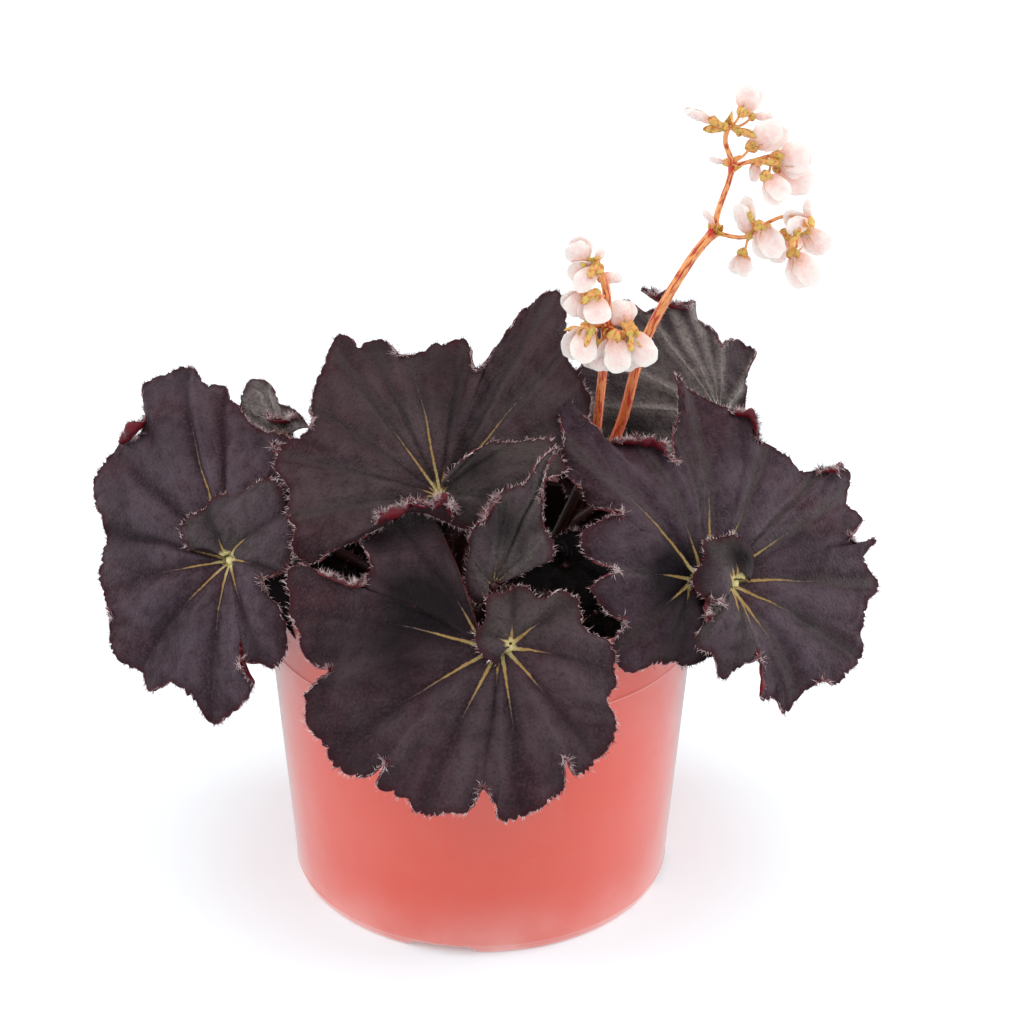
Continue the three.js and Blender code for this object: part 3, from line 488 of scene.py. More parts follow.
class LeafSettings(bpy.types.PropertyGroup):
    """The leaves, their veins, margins and hairs."""

    thickness: length("Thickness", "The blade's thickness", 0.45)
    spacing: length("Spacing", "How far apart the blade's columns are at its edge", 0.62)
    vein_width: length("Vein width", "A main vein's width at the hub", 1.2)
    hair_length: length("Hair length", "The longest hairs of the margin", 2.5)
    purple: colour("Purple", "The blade's main colour", 53, 38, 47)
    brown: colour("Brown", "The main colour of the warmer blades", 46, 33, 35)
    # Grey and dun make the fine grain paler, and they are also painted sheen and light: on the ridges, on
    # convex parts and in pale patches
    grey: colour("Grey", "The blade on its ridges, where it is paler", 84, 69, 78)
    dun: colour("Dun", "The ridges of the warmer blades", 72, 57, 59)
    flush: colour("Flush", "The red flush towards the edge", 60, 29, 36)
    # Crease is the darker mottles and grain, and painted shade in the creases along the veins, in grooves and
    # in hollows
    crease: colour("Crease", "The folds along the veins", 31, 19, 24)
    # Deep is painted shade, in the darkest hollows and where other leaves shade the blade
    deep: colour("Deep", "The blade's darkest hollows", 15, 8, 12)
    # Olive paints the weaker sheen on the lobe on top, and is the youngest blades' own colour
    olive: colour("Olive", "The lobe on top and the youngest blades", 62, 57, 53)
    # Pallid is partly the greyest blades' own colour and partly painted sheen and light: the grey sheen at a
    # grazing angle and pale streaks along veins
    pallid: colour("Pallid", "The palest, greyest blades", 148, 140, 135)
    margin: colour("Margin", "The blade's dark red margin", 54, 19, 26)
    lip: colour("Lip", "The thin pale line round the margin", 112, 62, 70)
    underside: colour("Underside", "The blade from below", 104, 10, 26)
    vein: colour("Vein", "The pale stretch of a vein", 164, 132, 82)
    vein_end: colour("Vein end", "A vein where it fades away", 118, 98, 96)
    hub: colour("Hub", "The star where the veins meet", 214, 200, 140)
    hair: colour("Hair", "The hairs of margins and stalks", 236, 214, 214)
    stalk: colour("Stalk", "The leaf stalks", 62, 16, 18)
    stalk_fleck: colour("Stalk fleck", "The darker flecks on the stalks", 34, 7, 11)


class SpraySettings(bpy.types.PropertyGroup):
    """The flower sprays."""

    petal: colour("Petal", "The petals' pale rim", 253, 236, 228)
    petal_heart: colour("Petal heart", "The petals' pink middle", 250, 206, 200)
    petal_base: colour("Petal base", "The petals' deeper pink near the pod", 236, 148, 124)
    pod: colour("Pod", "The seed pods and bracts", 206, 180, 84)
    stem: colour("Stem", "The flower stems", 236, 160, 96)
    stem_low: colour("Low stem", "The flower stems lower down", 216, 104, 46)
    stem_dash: colour("Stem dash", "The red dashes on the stems", 178, 48, 24)
    node: colour("Node", "The joints of the stems", 200, 40, 30)


def settings(group):
    """The scene's settings of one group of pieces."""
    return getattr(bpy.context.scene, "begonia_" + group)


class Sculpt:
    """Gathers points and faces in millimetres, with values for its named attributes at each point."""

    def __init__(self, *attributes):
        self.points = []
        self.faces = []
        self.values = {name: [] for name in attributes}
        self.count = 0

    def add(self, points, faces, material=0, smooth=True, **values):
        """Adds points and a list of arrays of faces, with their material and shading."""
        points = np.asarray(points, float).reshape(-1, 3)
        for part in faces:
            self.faces.append((np.asarray(part, int) + self.count, material, smooth))
        for name, kept in self.values.items():
            kept.append(np.broadcast_to(np.asarray(values.get(name, 0.0), float), len(points)))
        self.points.append(points)
        self.count += len(points)

    def add_faces(self, faces, offset, material=0, smooth=True):
        """Adds faces between points that are there already, counted from the offset."""
        self.faces.append((np.asarray(faces, int) + offset, material, smooth))

    def build(self, name, materials):
        """Makes the object, in metres."""
        mesh = bpy.data.meshes.new(name)
        points = np.vstack(self.points) * MM
        mesh.vertices.add(len(points))
        mesh.vertices.foreach_set("co", points.astype(np.float32).ravel())
        sizes = np.concatenate([np.full(len(part), part.shape[1]) for part, _, _ in self.faces])
        corners = np.concatenate([part.ravel() for part, _, _ in self.faces])
        mesh.loops.add(len(corners))
        mesh.loops.foreach_set("vertex_index", corners.astype(np.int32))
        mesh.polygons.add(len(sizes))
        mesh.polygons.foreach_set("loop_start", (np.cumsum(sizes) - sizes).astype(np.int32))
        slots = np.concatenate([np.full(len(part), slot) for part, slot, _ in self.faces])
        shaded = np.concatenate([np.full(len(part), smooth) for part, _, smooth in self.faces])
        mesh.polygons.foreach_set("material_index", slots.astype(np.int32))
        mesh.polygons.foreach_set("use_smooth", shaded.astype(bool))
        for attribute, parts in self.values.items():
            layer = mesh.attributes.new(attribute, "FLOAT", "POINT")
            layer.data.foreach_set("value", np.concatenate(parts).astype(np.float32))
        mesh.update(calc_edges=True)
        mesh.validate()
        for material in materials:
            mesh.materials.append(material)
        piece = bpy.data.objects.new(name, mesh)
        bpy.context.scene.collection.objects.link(piece)
        return piece


def keep(piece, slot, *nodes):
    """Puts a finished piece on the plant's body and hides the nodes that it stands for. The slot is not used.
    """
    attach(piece, "root")
    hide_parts(*nodes)


def smoothstep(value, low, high):
    """Rises smoothly from 0 at low to 1 at high."""
    part = np.clip((np.asarray(value, float) - low) / (high - low), 0, 1)
    return part * part * (3 - 2 * part)


def unit(vectors):
    """The vectors at length 1."""
    vectors = np.asarray(vectors, float)
    return vectors / np.maximum(np.linalg.norm(vectors, axis=-1, keepdims=True), 1e-9)


def bell(value, width):
    """Falls smoothly from 1 at 0 to almost nothing at twice the width."""
    return np.exp(-((value / width) ** 2))


def travelled(path):
    """How far along a path each of its points is."""
    return np.concatenate([[0], np.cumsum(np.linalg.norm(np.diff(path, axis=0), axis=1))])


def spline(points, places):
    """Points on a smooth curve through the given ones, at places from 0 to 1 along them."""
    points = np.asarray(points, float)
    last = len(points) - 1
    place = np.clip(np.asarray(places, float), 0, 1) * last
    index = np.minimum(np.floor(place).astype(int), last - 1)
    part = (place - index)[..., None]
    ends = np.vstack([2 * points[0] - points[1], points, 2 * points[-1] - points[-2]])
    a, b, c, d = (ends[index + k] for k in range(4))

    def gap(p, q):
        return np.maximum(np.linalg.norm(q - p, axis=-1, keepdims=True) ** 0.5, 1e-3)

    before, here, after = gap(a, b), gap(b, c), gap(c, d)
    leave = ((b - a) / before - (c - a) / (before + here) + (c - b) / here) * here
    arrive = ((c - b) / here - (d - b) / (here + after) + (d - c) / after) * here
    square = -3 * b + 3 * c - 2 * leave - arrive
    cube = 2 * b - 2 * c + leave + arrive
    return b + leave * part + square * part**2 + cube * part**3


def grid_faces(rows, columns, closed=False):
    """The quads of a grid of points, row by row. In a closed grid each row ends where it begins."""
    steps = np.arange(columns if closed else columns - 1)
    row, column = np.meshgrid(np.arange(rows - 1) * columns, steps, indexing="ij")
    low, high = row + column, row + (column + 1) % columns
    return np.stack([low, high, high + columns, low + columns], axis=-1).reshape(-1, 4)


def cap_faces(rows, columns):
    """The two faces that close the ends of a closed grid."""
    ring = np.arange(columns)[None]
    return [ring[:, ::-1], ring + (rows - 1) * columns]


def border_faces(rows, columns):
    """The quads between the rims of two grids, when the second one's points follow the first one's."""
    at = np.arange(rows * columns).reshape(rows, columns)
    loop = np.concatenate([at[:, -1], at[-1, -2::-1], at[-2::-1, 0], at[0, 1:-1]])
    after = np.roll(loop, -1)
    return np.stack([loop, after, after + rows * columns, loop + rows * columns], axis=-1)


def grid_normals(points):
    """The directions that a grid of points faces."""
    return unit(np.cross(np.gradient(points, axis=0), np.gradient(points, axis=1)))


def waves(points, scale, draw, count=9):
    """Smooth random numbers from about -1 to 1 that vary over a length of scale."""
    total = np.zeros(points.shape[:-1])
    for _ in range(count):
        direction = unit(draw.normal(size=3)) * draw.uniform(0.6, 1.5) * 2 * np.pi / scale
        total += np.sin(points @ direction + draw.uniform(0, 2 * np.pi))
    return total / math.sqrt(count)


def frames(path):
    """Two directions across a path at each of its points, that turn as little as they can."""
    along = unit(np.gradient(path, axis=0))
    start = np.cross(along[0], (0, 1, 0) if abs(along[0][1]) < 0.9 else (1, 0, 0))
    sides = [unit(start)]
    for direction in along[1:]:
        side = sides[-1] - direction * (sides[-1] @ direction)
        sides.append(unit(side))
    sides = np.array(sides)
    return along, sides, np.cross(along, sides)


def tube(path, radii, sides):
    """A closed tube along a path: its points, its faces and how far along it each point is."""
    path = np.asarray(path, float)
    _, side, across = frames(path)
    angle = np.linspace(0, 2 * np.pi, sides, endpoint=False)[:, None, None]
    ring = np.cos(angle) * side + np.sin(angle) * across
    radii = np.broadcast_to(radii, (sides, len(path)))
    skin = (path + ring * radii[..., None]).transpose(1, 0, 2).reshape(-1, 3)
    steps = travelled(path)
    along = np.concatenate([np.repeat(steps, sides), steps[:1], steps[-1:]])
    index = np.arange(sides)
    after = (index + 1) % sides
    end = len(skin) - sides
    bottom = np.stack([np.full(sides, len(skin)), after, index], axis=-1)
    top = np.stack([np.full(sides, len(skin) + 1), end + index, end + after], axis=-1)
    return np.vstack([skin, path[:1], path[-1:]]), [grid_faces(len(path), sides, True), bottom, top], along


def hairs(roots, directions, lengths, radius, bends):
    """Thin pointed hairs, each with three sides and one bend: their points and faces."""
    count = len(roots)
    directions = unit(directions)
    side = unit(np.cross(directions, np.where(abs(directions[:, 2:]) < 0.8, (0, 0, 1), (1, 0, 0))))
    across = np.cross(directions, side)
    lengths = np.asarray(lengths, float)[:, None]
    middle = roots + directions * lengths * 0.55
    tip = roots + directions * lengths + bends
    points = np.empty((count, 7, 3))
    for k in range(3):
        spoke = math.cos(2.1 * k) * side + math.sin(2.1 * k) * across
        points[:, k] = roots + spoke * radius
        points[:, k + 3] = middle + spoke * radius * 0.6
    points[:, 6] = tip
    pattern_quads = np.array([[0, 1, 4, 3], [1, 2, 5, 4], [2, 0, 3, 5]])
    pattern_tips = np.array([[3, 4, 6], [4, 5, 6], [5, 3, 6], [2, 1, 0]])
    base = (np.arange(count) * 7)[:, None, None]
    faces = [(pattern_quads + base).reshape(-1, 4), (pattern_tips + base).reshape(-1, 3)]
    return points.reshape(-1, 3), faces


def add_hairs(sculpt, material, roots, aim, kind, draw):
    """Adds hairs of one kind: shortest, longest, radius and sway."""
    shortest, longest, radius, sway = kind
    lengths = draw.uniform(shortest, longest, len(roots))
    sculpt.add(*hairs(roots, aim, lengths, radius, draw.normal(0, sway, (len(roots), 3))), material)


def stem_roots(path, radii, count, span, sink, draw):
    """Hairs' roots round a stem, sunk a little into its skin, with the ways out of it and along it there."""
    direction, side, across = frames(path)
    index = draw.integers(*span, count)
    turn = draw.uniform(0, 2 * np.pi, (count, 1))
    spoke = np.cos(turn) * side[index] + np.sin(turn) * across[index]
    return path[index] + spoke * (radii[index, None] - sink), spoke, direction[index]


class Finish:
    """A material's node tree, with short calls for the nodes that the finishes share."""

    def __init__(self, name, roughness=0.5, **sockets):
        self.material = bpy.data.materials.new(name)
        self.material.use_nodes = True
        self.tree = self.material.node_tree
        self.surface = self.tree.nodes["Principled BSDF"]
        self.surface.inputs["Roughness"].default_value = roughness
        for socket, value in sockets.items():
            self.surface.inputs[socket.replace("_", " ")].default_value = value
        self.place = self.tree.nodes.new("ShaderNodeTexCoord").outputs["Object"]
        self.base = None

    def node(self, kind, **inputs):
        """Adds a node. An input is a number, a colour or another node's output."""
        made = self.tree.nodes.new("ShaderNode" + kind)
        for key, value in inputs.items():
            self.feed(made.inputs[key.replace("_", " ")], value)
        return made

    def feed(self, socket, value):
        """Links an output to a socket, or sets the socket's own value."""
        if isinstance(value, bpy.types.NodeSocket):
            self.tree.links.new(value, socket)
        elif hasattr(value, "__len__") and len(value) == 3 and socket.type == "RGBA":
            socket.default_value = (*value, 1)
        else:
            socket.default_value = value

    def attribute(self, name):
        """A value that the mesh holds at each point."""
        made = self.node("Attribute")
        made.attribute_name = name
        return made.outputs["Fac"]

    def stretched(self, *scales):
        """The place on the piece, scaled along each axis."""
        return self.node("Mapping", Vector=self.place, Scale=scales).outputs["Vector"]

    def noise(self, size, detail=2.0, vector=None):
        """Soft noise whose patches are about size millimetres across."""
        made = self.node("TexNoise", Vector=vector or self.place, Scale=1 / (size * MM), Detail=detail)
        return made.outputs["Fac"]

    def cells(self, size, vector=None):
        """The distance from the middle of cells about size millimetres across."""
        return self.node("TexVoronoi", Vector=vector or self.place, Scale=1 / (size * MM)).outputs["Distance"]

    def spread(self, value, low, high, start=0.0, end=1.0):
        """Maps low and high to start and end, with nothing beyond them."""
        made = self.node("MapRange", Value=value, From_Min=low, From_Max=high, To_Min=start, To_Max=end)
        return made.outputs["Result"]

    def mottle(self, size, detail, low, high, start=0.0, end=1.0):
        """Soft noise of a size, with low and high mapped to start and end."""
        return self.spread(self.noise(size, detail), low, high, start, end)

    def math(self, operation, a, b=0.0):
        """A sum, product or other result of two values."""
        made = self.tree.nodes.new("ShaderNodeMath")
        made.operation = operation
        self.feed(made.inputs[0], a)
        self.feed(made.inputs[1], b)
        return made.outputs[0]

    def times(self, a, b):
        """The product of two values."""
        return self.math("MULTIPLY", a, b)

    def plus(self, a, b):
        """The sum of two values."""
        return self.math("ADD", a, b)

    def minus(self, a, b):
        """The first value less the second."""
        return self.math("SUBTRACT", a, b)

    def mix(self, factor, first, second):
        """A colour between two others."""
        made = self.tree.nodes.new("ShaderNodeMix")
        made.data_type = "RGBA"
        self.feed(made.inputs[MIX_FACTOR], factor)
        self.feed(made.inputs[MIX_FIRST], first)
        self.feed(made.inputs[MIX_SECOND], second)
        return made.outputs[MIX_RESULT]

    def layer(self, factor, value):
        """Lays a colour over the ones so far."""
        self.base = self.mix(factor, self.base, value)

    def roughen(self, size, low, high):
        """Lets the roughness vary in patches of a size."""
        self.feed(self.surface.inputs["Roughness"], self.mottle(size, 4, 0.3, 0.7, low, high))

    def bump(self, height, millimetres, strength=1.0):
        """Raises the surface by up to so many millimetres where the height is 1."""
        made = self.node("Bump", Height=height, Distance=millimetres * MM, Strength=strength)
        self.feed(self.surface.inputs["Normal"], made.outputs["Normal"])

    def painted(self):
        """The material with its layers of colour on it."""
        self.feed(self.surface.inputs["Base Color"], self.base)
        return self.material


def leaf_axes(leaf):
    """The directions of a leaf: to its right, up along it, and out of its upper face."""
    face, rise = math.radians(leaf["face"]), math.radians(leaf["rise"])
    out = np.array((math.cos(rise) * math.sin(face), -math.cos(rise) * math.cos(face), math.sin(rise)))
    right = np.array((math.cos(face), math.sin(face), 0.0))
    return right, np.cross(out, right), out


def in_space(leaf, place, height):
    """Places across a leaf's plane, with their heights over it, as points in space."""
    right, up, out = leaf_axes(leaf)
    return np.array(leaf["hub"]) + place[..., :1] * right + place[..., 1:] * up + height[..., None] * out


def blade_columns(edge, veins, spacing):
    """How far round the blade its columns stand: evenly along the edge, with one on each vein."""
    fine = np.linspace(0, 1, 4000)
    along = travelled(spline(edge, fine))
    sweeps = np.interp(np.linspace(0, along[-1], round(along[-1] / spacing) + 1), along, fine)
    for sweep, _ in veins:
        sweeps[np.abs(sweeps - sweep).argmin()] = sweep
    return sweeps, np.interp(sweeps, fine, along)


def blade_rings(lengths, count):
    """How far out the blade's rings are, in millimetres: closer together near the edge."""
    border = np.minimum(BLADE_BORDER[-1], lengths / 2)[:, None]
    outer = lengths[:, None] - border * BLADE_BORDER[::-1] / BLADE_BORDER[-1]
    inner = (lengths[:, None] - border) * np.linspace(0, 1, count)
    return np.hstack([inner[:, :-1], outer])


def softened(rim, spacing, span):
    """The edge with its bites and points smoothed away over a span: the middle of the blade follows it."""
    reach = int(3 * span / spacing)
    weights = bell(np.arange(-reach, reach + 1) * spacing, span)
    weights /= weights.sum()
    longer = np.vstack([np.repeat(rim[:1], reach, axis=0), rim, np.repeat(rim[-1:], reach, axis=0)])
    return np.stack([np.convolve(longer[:, k], weights, "valid") for k in range(rim.shape[1])], axis=-1)


def crenate(along, rim, draw):
    """How far an edge's rounded teeth reach, with sharp gaps between them, at each column."""
    phase = along / TEETH["spacing"] + 0.75 * waves(rim, 9, draw)
    size = np.clip(0.7 + 0.45 * waves(rim, 8, draw), 0.15, 1.6)
    return TEETH["height"] * size * (np.abs(np.sin(np.pi * phase)) ** 0.75 - 0.6)


def vein_fields(veins, sweeps, place, half_width):
    """
    For each point of the blade: how deep it lies within a pale vein, how far any vein is from it, and how
    pale that vein is there.
    """
    depth = np.full(place.shape[:2], NO_VEIN)
    fade = np.zeros(place.shape[:2])
    gap = np.full(place.shape[:2], FAR_FROM_VEINS)
    for sweep, end in veins:
        line = place[np.abs(sweeps - sweep).argmin()]
        direction = unit(np.gradient(line, axis=0))
        along = travelled(line)
        offset = place - line
        aside = np.abs(offset[..., 0] * direction[:, 1] - offset[..., 1] * direction[:, 0])
        near = (np.abs(sweeps - sweep) < 0.2)[:, None]
        taper = np.clip(1 - along / (along[-1] * end), -0.25, 1)
        width = half_width * np.sign(taper) * np.abs(taper) ** 0.9
        fade = np.where(near & (width - aside > depth), taper * np.ones_like(depth), fade)
        depth = np.where(near, np.maximum(depth, width - aside), depth)
        gap = np.where(near, np.minimum(gap, aside), gap)
    return depth, gap, fade


def bite_shapes(edge, sweeps, along_edge):
    """How strongly each column rolls up, and how deep its edge is bitten, in millimetres."""
    roll = np.zeros(len(sweeps))
    notch = np.zeros(len(sweeps))
    columns = []
    for i, point in enumerate(edge):
        if point[2] < BITE:
            continue
        apart = along_edge - np.interp(i / (len(edge) - 1), sweeps, along_edge)
        strength = np.clip(point[2] / 2, 0.75, 1.5)
        roll = np.maximum(roll, strength * bell(apart, 2.6))
        notch = np.maximum(notch, 0.3 * np.exp(-((apart / 1.8) ** 4)))
        columns.append(np.abs(apart).argmin())
    return roll, notch, columns


def relief(height, columns, rings):
    """How far each point of a grid of heights stands above the mean of those round it."""
    mean = height
    for axis, reach in enumerate((columns, rings)):
        longer = np.pad(mean, [(reach, reach) if axis == k else (0, 0) for k in range(2)], mode="edge")
        mean = np.lib.stride_tricks.sliding_window_view(longer, 2 * reach + 1, axis=axis).mean(axis=-1)
    return height - mean


def blade_surface(leaf, spacing, draw):
    """
    The upper face of a leaf's blade: its points in columns and rings, and the values that its colours
    need. The blade winds round the top of the stalk like a ramp. Its veins lie in valleys, the tissue
    between them is raised and puckered, and its edge is ruffled, toothed and rolled up at the bites.
    """
    veins = leaf["veins"]
    edge = np.array([(*point, 0)[:3] for point in leaf["edge"]], float)
    sweeps, along_edge = blade_columns(edge, veins, spacing)
    rim = spline(edge, sweeps)
    middle = np.array(leaf["shift"], float) * (sweeps - 0.5)[:, None] + leaf["centre"]
    spoke = rim[:, :2] - middle
    lengths = np.linalg.norm(spoke, axis=1)
    roll, notch, bites = bite_shapes(edge, sweeps, along_edge)
    teeth = crenate(along_edge, rim, draw) + 0.7 * waves(rim, 11, draw)
    edge_length = lengths + (teeth - notch) * smoothstep(lengths, 5, 12)
    spoke *= (edge_length / lengths)[:, None]
    lengths = edge_length
    inner_spoke = softened(rim[:, :2], spacing, 8.0) - middle

    flat = blade_rings(lengths - HUB_RADIUS, leaf["rings"]) + HUB_RADIUS
    margin = lengths[:, None] - flat
    start = np.minimum(ROLL["lip"] + ROLL["length"] * roll, 0.35 * lengths)[:, None]
    radius = (ROLL["radius"] + 0.25 * np.clip(roll, 0, 1.5))[:, None]
    angle = np.clip(start - margin, 0, None) / radius
    reached = np.where(angle > 0, lengths[:, None] - start + radius * np.sin(angle), flat)
    lift = radius * (1 - np.cos(angle))

    share = reached / lengths[:, None]
    outer = np.clip(share, 0, 1)[..., None] ** 2.5
    place = middle[:, None] + share[..., None] * (inner_spoke[:, None] * (1 - outer) + spoke[:, None] * outer)
    bend = leaf["bend"]
    height = -bend[0] * (place[..., 0] / 50) ** 2 - bend[1] * (place[..., 1] / 50) ** 2
    height += leaf["dome"] * np.sin(np.pi * np.clip(share, 0, 1) ** 0.8)
    height += leaf["ramp"] * (sweeps - 0.5)[:, None] + rim[:, 2:] * share**3

    bounds = np.array([0, *(sweep for sweep, _ in veins), 1])
    sector = np.clip(np.searchsorted(bounds, sweeps, side="right") - 1, 0, len(bounds) - 2)
    across = (sweeps - bounds[sector]) / (bounds[sector + 1] - bounds[sector])
    corners = np.stack([np.interp(bounds, sweeps, spoke[:, k]) for k in range(2)], axis=-1)
    spans = np.linalg.norm(np.diff(corners, axis=0), axis=1)[sector][:, None] * share
    swell = np.clip(np.sin(np.pi * across), 0, 1)[:, None] ** 0.95
    height += leaf["fold"] * np.clip(0.15 * spans, 0, RELIEF["swell"]) * swell * (1 - 0.5 * share**4)

    half_width = leaf["vein_share"] * settings("leaves").vein_width / MM / 2
    depth, gap, fade = vein_fields(veins, sweeps, place, half_width)
    branch = (reached - 0.75 * gap) / RELIEF["pillow_spacing"]
    pillow = np.abs(np.sin(np.pi * branch)) ** 0.8
    height += RELIEF["pillow"] * pillow * smoothstep(gap, 0.4, 3) * (1 - share**6)

    flat_place = np.concatenate([place, np.zeros((*place.shape[:2], 1))], axis=-1)
    height += RELIEF["pucker"] * waves(flat_place, 4.5, draw) + 0.08 * waves(flat_place, 2.2, draw)
    # How far each point stands above its neighbours, for painted sheen on convex parts and painted shade in
    # hollows
    raised = np.clip(relief(height, 9, 2) / 0.3, -1, 1)
    height += 1.1 * waves(flat_place, 34, draw) * share
    ruffle = waves(rim, 14, draw)[:, None] * share**5 + 0.62 * waves(rim, 6.5, draw)[:, None] * share**10
    height += RELIEF["ruffle"] * ruffle * smoothstep(lengths, 6, 18)[:, None] + lift
    drift = np.stack([waves(flat_place, 17, draw), waves(flat_place, 17, draw)], axis=-1)
    place = place + 0.45 * np.clip(share, 0, 1)[..., None] * drift

    # The lobe on top is painted olive, for the weaker sheen that it shows; greener blades are olive all over
    olive = np.broadcast_to(smoothstep(sweeps, 0.74, 0.88)[:, None], depth.shape)
    # Painted shade and light in patches: dark in hollows and where other leaves shade the blade, pale where
    # it catches the light
    patch = np.zeros(depth.shape)
    for x, y, radius, shade in leaf["patches"]:
        patch += shade * bell(np.linalg.norm(place - (x, y), axis=-1), radius)
    values = {
        "vein": depth,
        "gap": gap,
        "branch": np.abs(branch - np.round(branch)) * RELIEF["pillow_spacing"],
        "margin": margin,
        "olive": np.maximum(0.8 * olive, leaf["greenness"]),
        "hub": leaf["star"] * bell(np.linalg.norm(place - middle[:, None], axis=-1), 2.6),
        "fade": fade,
        # Painted sheen on the swellings between the veins
        "ridge": swell * smoothstep(share, 0.1, 0.45),
        "pale": leaf["pallor"],
        # Painted shade: over a whole leaf that lies in deep shade, and on the start of the blade under its
        # last lobe
        "dim": np.maximum(leaf["dimness"], leaf["shade_under_lobe"] * (1 - smoothstep(sweeps, 0, 0.08)))[:, None],
        # Painted sheen that runs pale along the veins
        "streak": leaf["streak"],
        "patch": patch,
        "raised": raised,
        "share": share,
        "tone": leaf["tone"],
    }
    return in_space(leaf, place, height), values, roll, bites, (place, height)


def blade_normals(points, out):
    """
    The directions that a blade's upper face looks, and which columns run backwards. Those are folded
    over their neighbours, and their upper face looks the same way as the others'.
    """
    normals = grid_normals(points)
    middle = slice(points.shape[1] // 4, points.shape[1] * 3 // 4)
    backwards = np.mean(normals[:, middle] @ out, axis=1) < 0
    return np.where(backwards[:, None, None], -normals, normals), backwards


def add_sheet(sculpt, points, under, backwards, values):
    """Adds a thin sheet from the grids of its upper and its under face, with the border between them."""
    columns, rings = points.shape[:2]
    offset = sculpt.count
    flat = {key: np.broadcast_to(value, (columns, rings)).reshape(-1) for key, value in values.items()}
    faces = grid_faces(columns, rings).reshape(columns - 1, rings - 1, 4)
    faces = np.where(backwards[:-1, None, None], faces, faces[..., ::-1]).reshape(-1, 4)
    sculpt.add(points, [faces], BLADE_TOP, **flat)
    sculpt.add(under, [faces[:, ::-1]], BLADE_UNDER, **flat)
    border = border_faces(columns, rings)
    mostly = backwards.mean() > 0.5
    sculpt.add_faces(border[:, ::-1] if mostly else border, offset, BLADE_UNDER, smooth=False)


def add_blade(sculpt, points, values, out, thickness):
    """Adds a blade: its upper face, its underside with ribs under the veins, and the border between."""
    normals, backwards = blade_normals(points, out)
    rib = 0.55 * bell(values["gap"], 0.7) * (1 - np.clip(values["share"], 0, 1)) ** 0.7
    under = points - normals * (thickness + rib)[..., None]
    add_sheet(sculpt, points, under, backwards, values)
    return normals, under


def add_curl(sculpt, leaf, radius, places, surface, draw):
    """Adds a flap of the margin that curls up and back over the blade, crimson side out, with its hairs."""
    flat, height = surface
    count = 8 * len(places)
    spine = spline(places, np.linspace(0, 1, count))
    apart = np.linalg.norm(flat.reshape(-1, 2) - spine[:, None], axis=-1)
    near = apart < apart.min(axis=1, keepdims=True) + 1.2
    base = np.max(np.where(near, height.ravel(), -99.0), axis=1)
    base = np.convolve(np.pad(base, 3, mode="edge"), np.full(7, 1 / 7), "valid")
    along = unit(np.gradient(spine, axis=0))
    aside = np.stack([along[:, 1], -along[:, 0]], axis=-1)
    end = np.sin(np.pi * np.linspace(0.05, 0.95, count)) ** 0.7
    spots = np.column_stack([spine, base])
    bend = radius * (0.35 + 0.65 * end) * np.clip(1 + 0.3 * waves(spots, 5, draw), 0.5, 1.6)
    turn = np.radians(CURL["turn"]) * (0.3 + 0.7 * end) * np.clip(1 + 0.2 * waves(spots, 4, draw), 0.6, 1.3)
    angle = np.linspace(0, 1, CURL["points"]) * turn[:, None]
    across = bend[:, None] * np.sin(angle)
    lift = bend[:, None] * (1 - np.cos(angle)) + base[:, None] + 0.1
    place = spine[:, None] + across[..., None] * aside[:, None]
    right, _, out = leaf_axes(leaf)
    points = in_space(leaf, place, lift)
    points += 0.2 * waves(points, 3, draw)[..., None] * out + 0.12 * waves(points, 3, draw)[..., None] * right
    normals = grid_normals(points)
    backwards = np.full(count, np.mean(normals[:, 0] @ out) < 0)
    normals = -normals if backwards[0] else normals
    margin = bend[:, None] * (turn[:, None] - angle)
    values = {"vein": NO_VEIN, "gap": FAR_FROM_VEINS, "branch": 2, "margin": margin, "share": 0.9}
    values["tone"] = leaf["tone"]
    under = points - normals * settings("leaves").thickness / MM
    add_sheet(sculpt, points, under, backwards, values)
    middle = [count // 4, count * 3 // 4]
    for rim, facing in ((points, normals), (points[:, ::-1], normals[:, ::-1])):
        sculpt.add(*margin_hairs(rim, facing, np.full(count, 0.8), middle, draw), HAIR)


def margin_hairs(points, normals, roll, bites, draw):
    """The hairs that stand out from a blade's edge, with a star of longer ones in each bite."""
    longest = settings("leaves").hair_length / MM
    rim = points[:, -1]
    outward = unit(rim - points[:, -3])
    around = unit(np.gradient(rim, axis=0))
    steps = np.linalg.norm(np.gradient(rim, axis=0), axis=1) * (1 + 0.9 * roll)
    places = np.cumsum(steps)
    count = int(places[-1] / MARGIN_HAIRS["spacing"])
    where = np.interp(draw.uniform(0, places[-1], count), places, np.arange(len(rim)))
    index = np.clip(np.round(where).astype(int), 0, len(rim) - 1)
    roots = rim[index] + around[index] * draw.uniform(-0.5, 0.5, (count, 1)) - outward[index] * 0.15
    tilt = normals[index, -1] * draw.normal(0.1, 0.45, (count, 1))
    directions = outward[index] + around[index] * draw.normal(0, 0.6, (count, 1)) + tilt
    lengths = longest * draw.uniform(0.22, 0.75, count)
    star = np.repeat(np.array(bites, int), MARGIN_HAIRS["star"])
    index = np.clip(star + draw.integers(-2, 3, len(star)), 0, len(rim) - 1)
    spread = draw.normal(0, 1, (len(star), 3))
    roots = np.vstack([roots, rim[index] - outward[index] * 0.2])
    aim = 0.8 * outward[index] + around[index] * spread[:, :1] + 0.9 * normals[index, -1] * spread[:, 1:2]
    directions = np.vstack([directions, aim])
    lengths = np.concatenate([lengths, longest * draw.uniform(0.6, 1.2, len(star))])
    sway = draw.normal(0, MARGIN_HAIRS["sway"], (len(roots), 3))
    return hairs(roots, directions, lengths, MARGIN_HAIRS["radius"], sway)


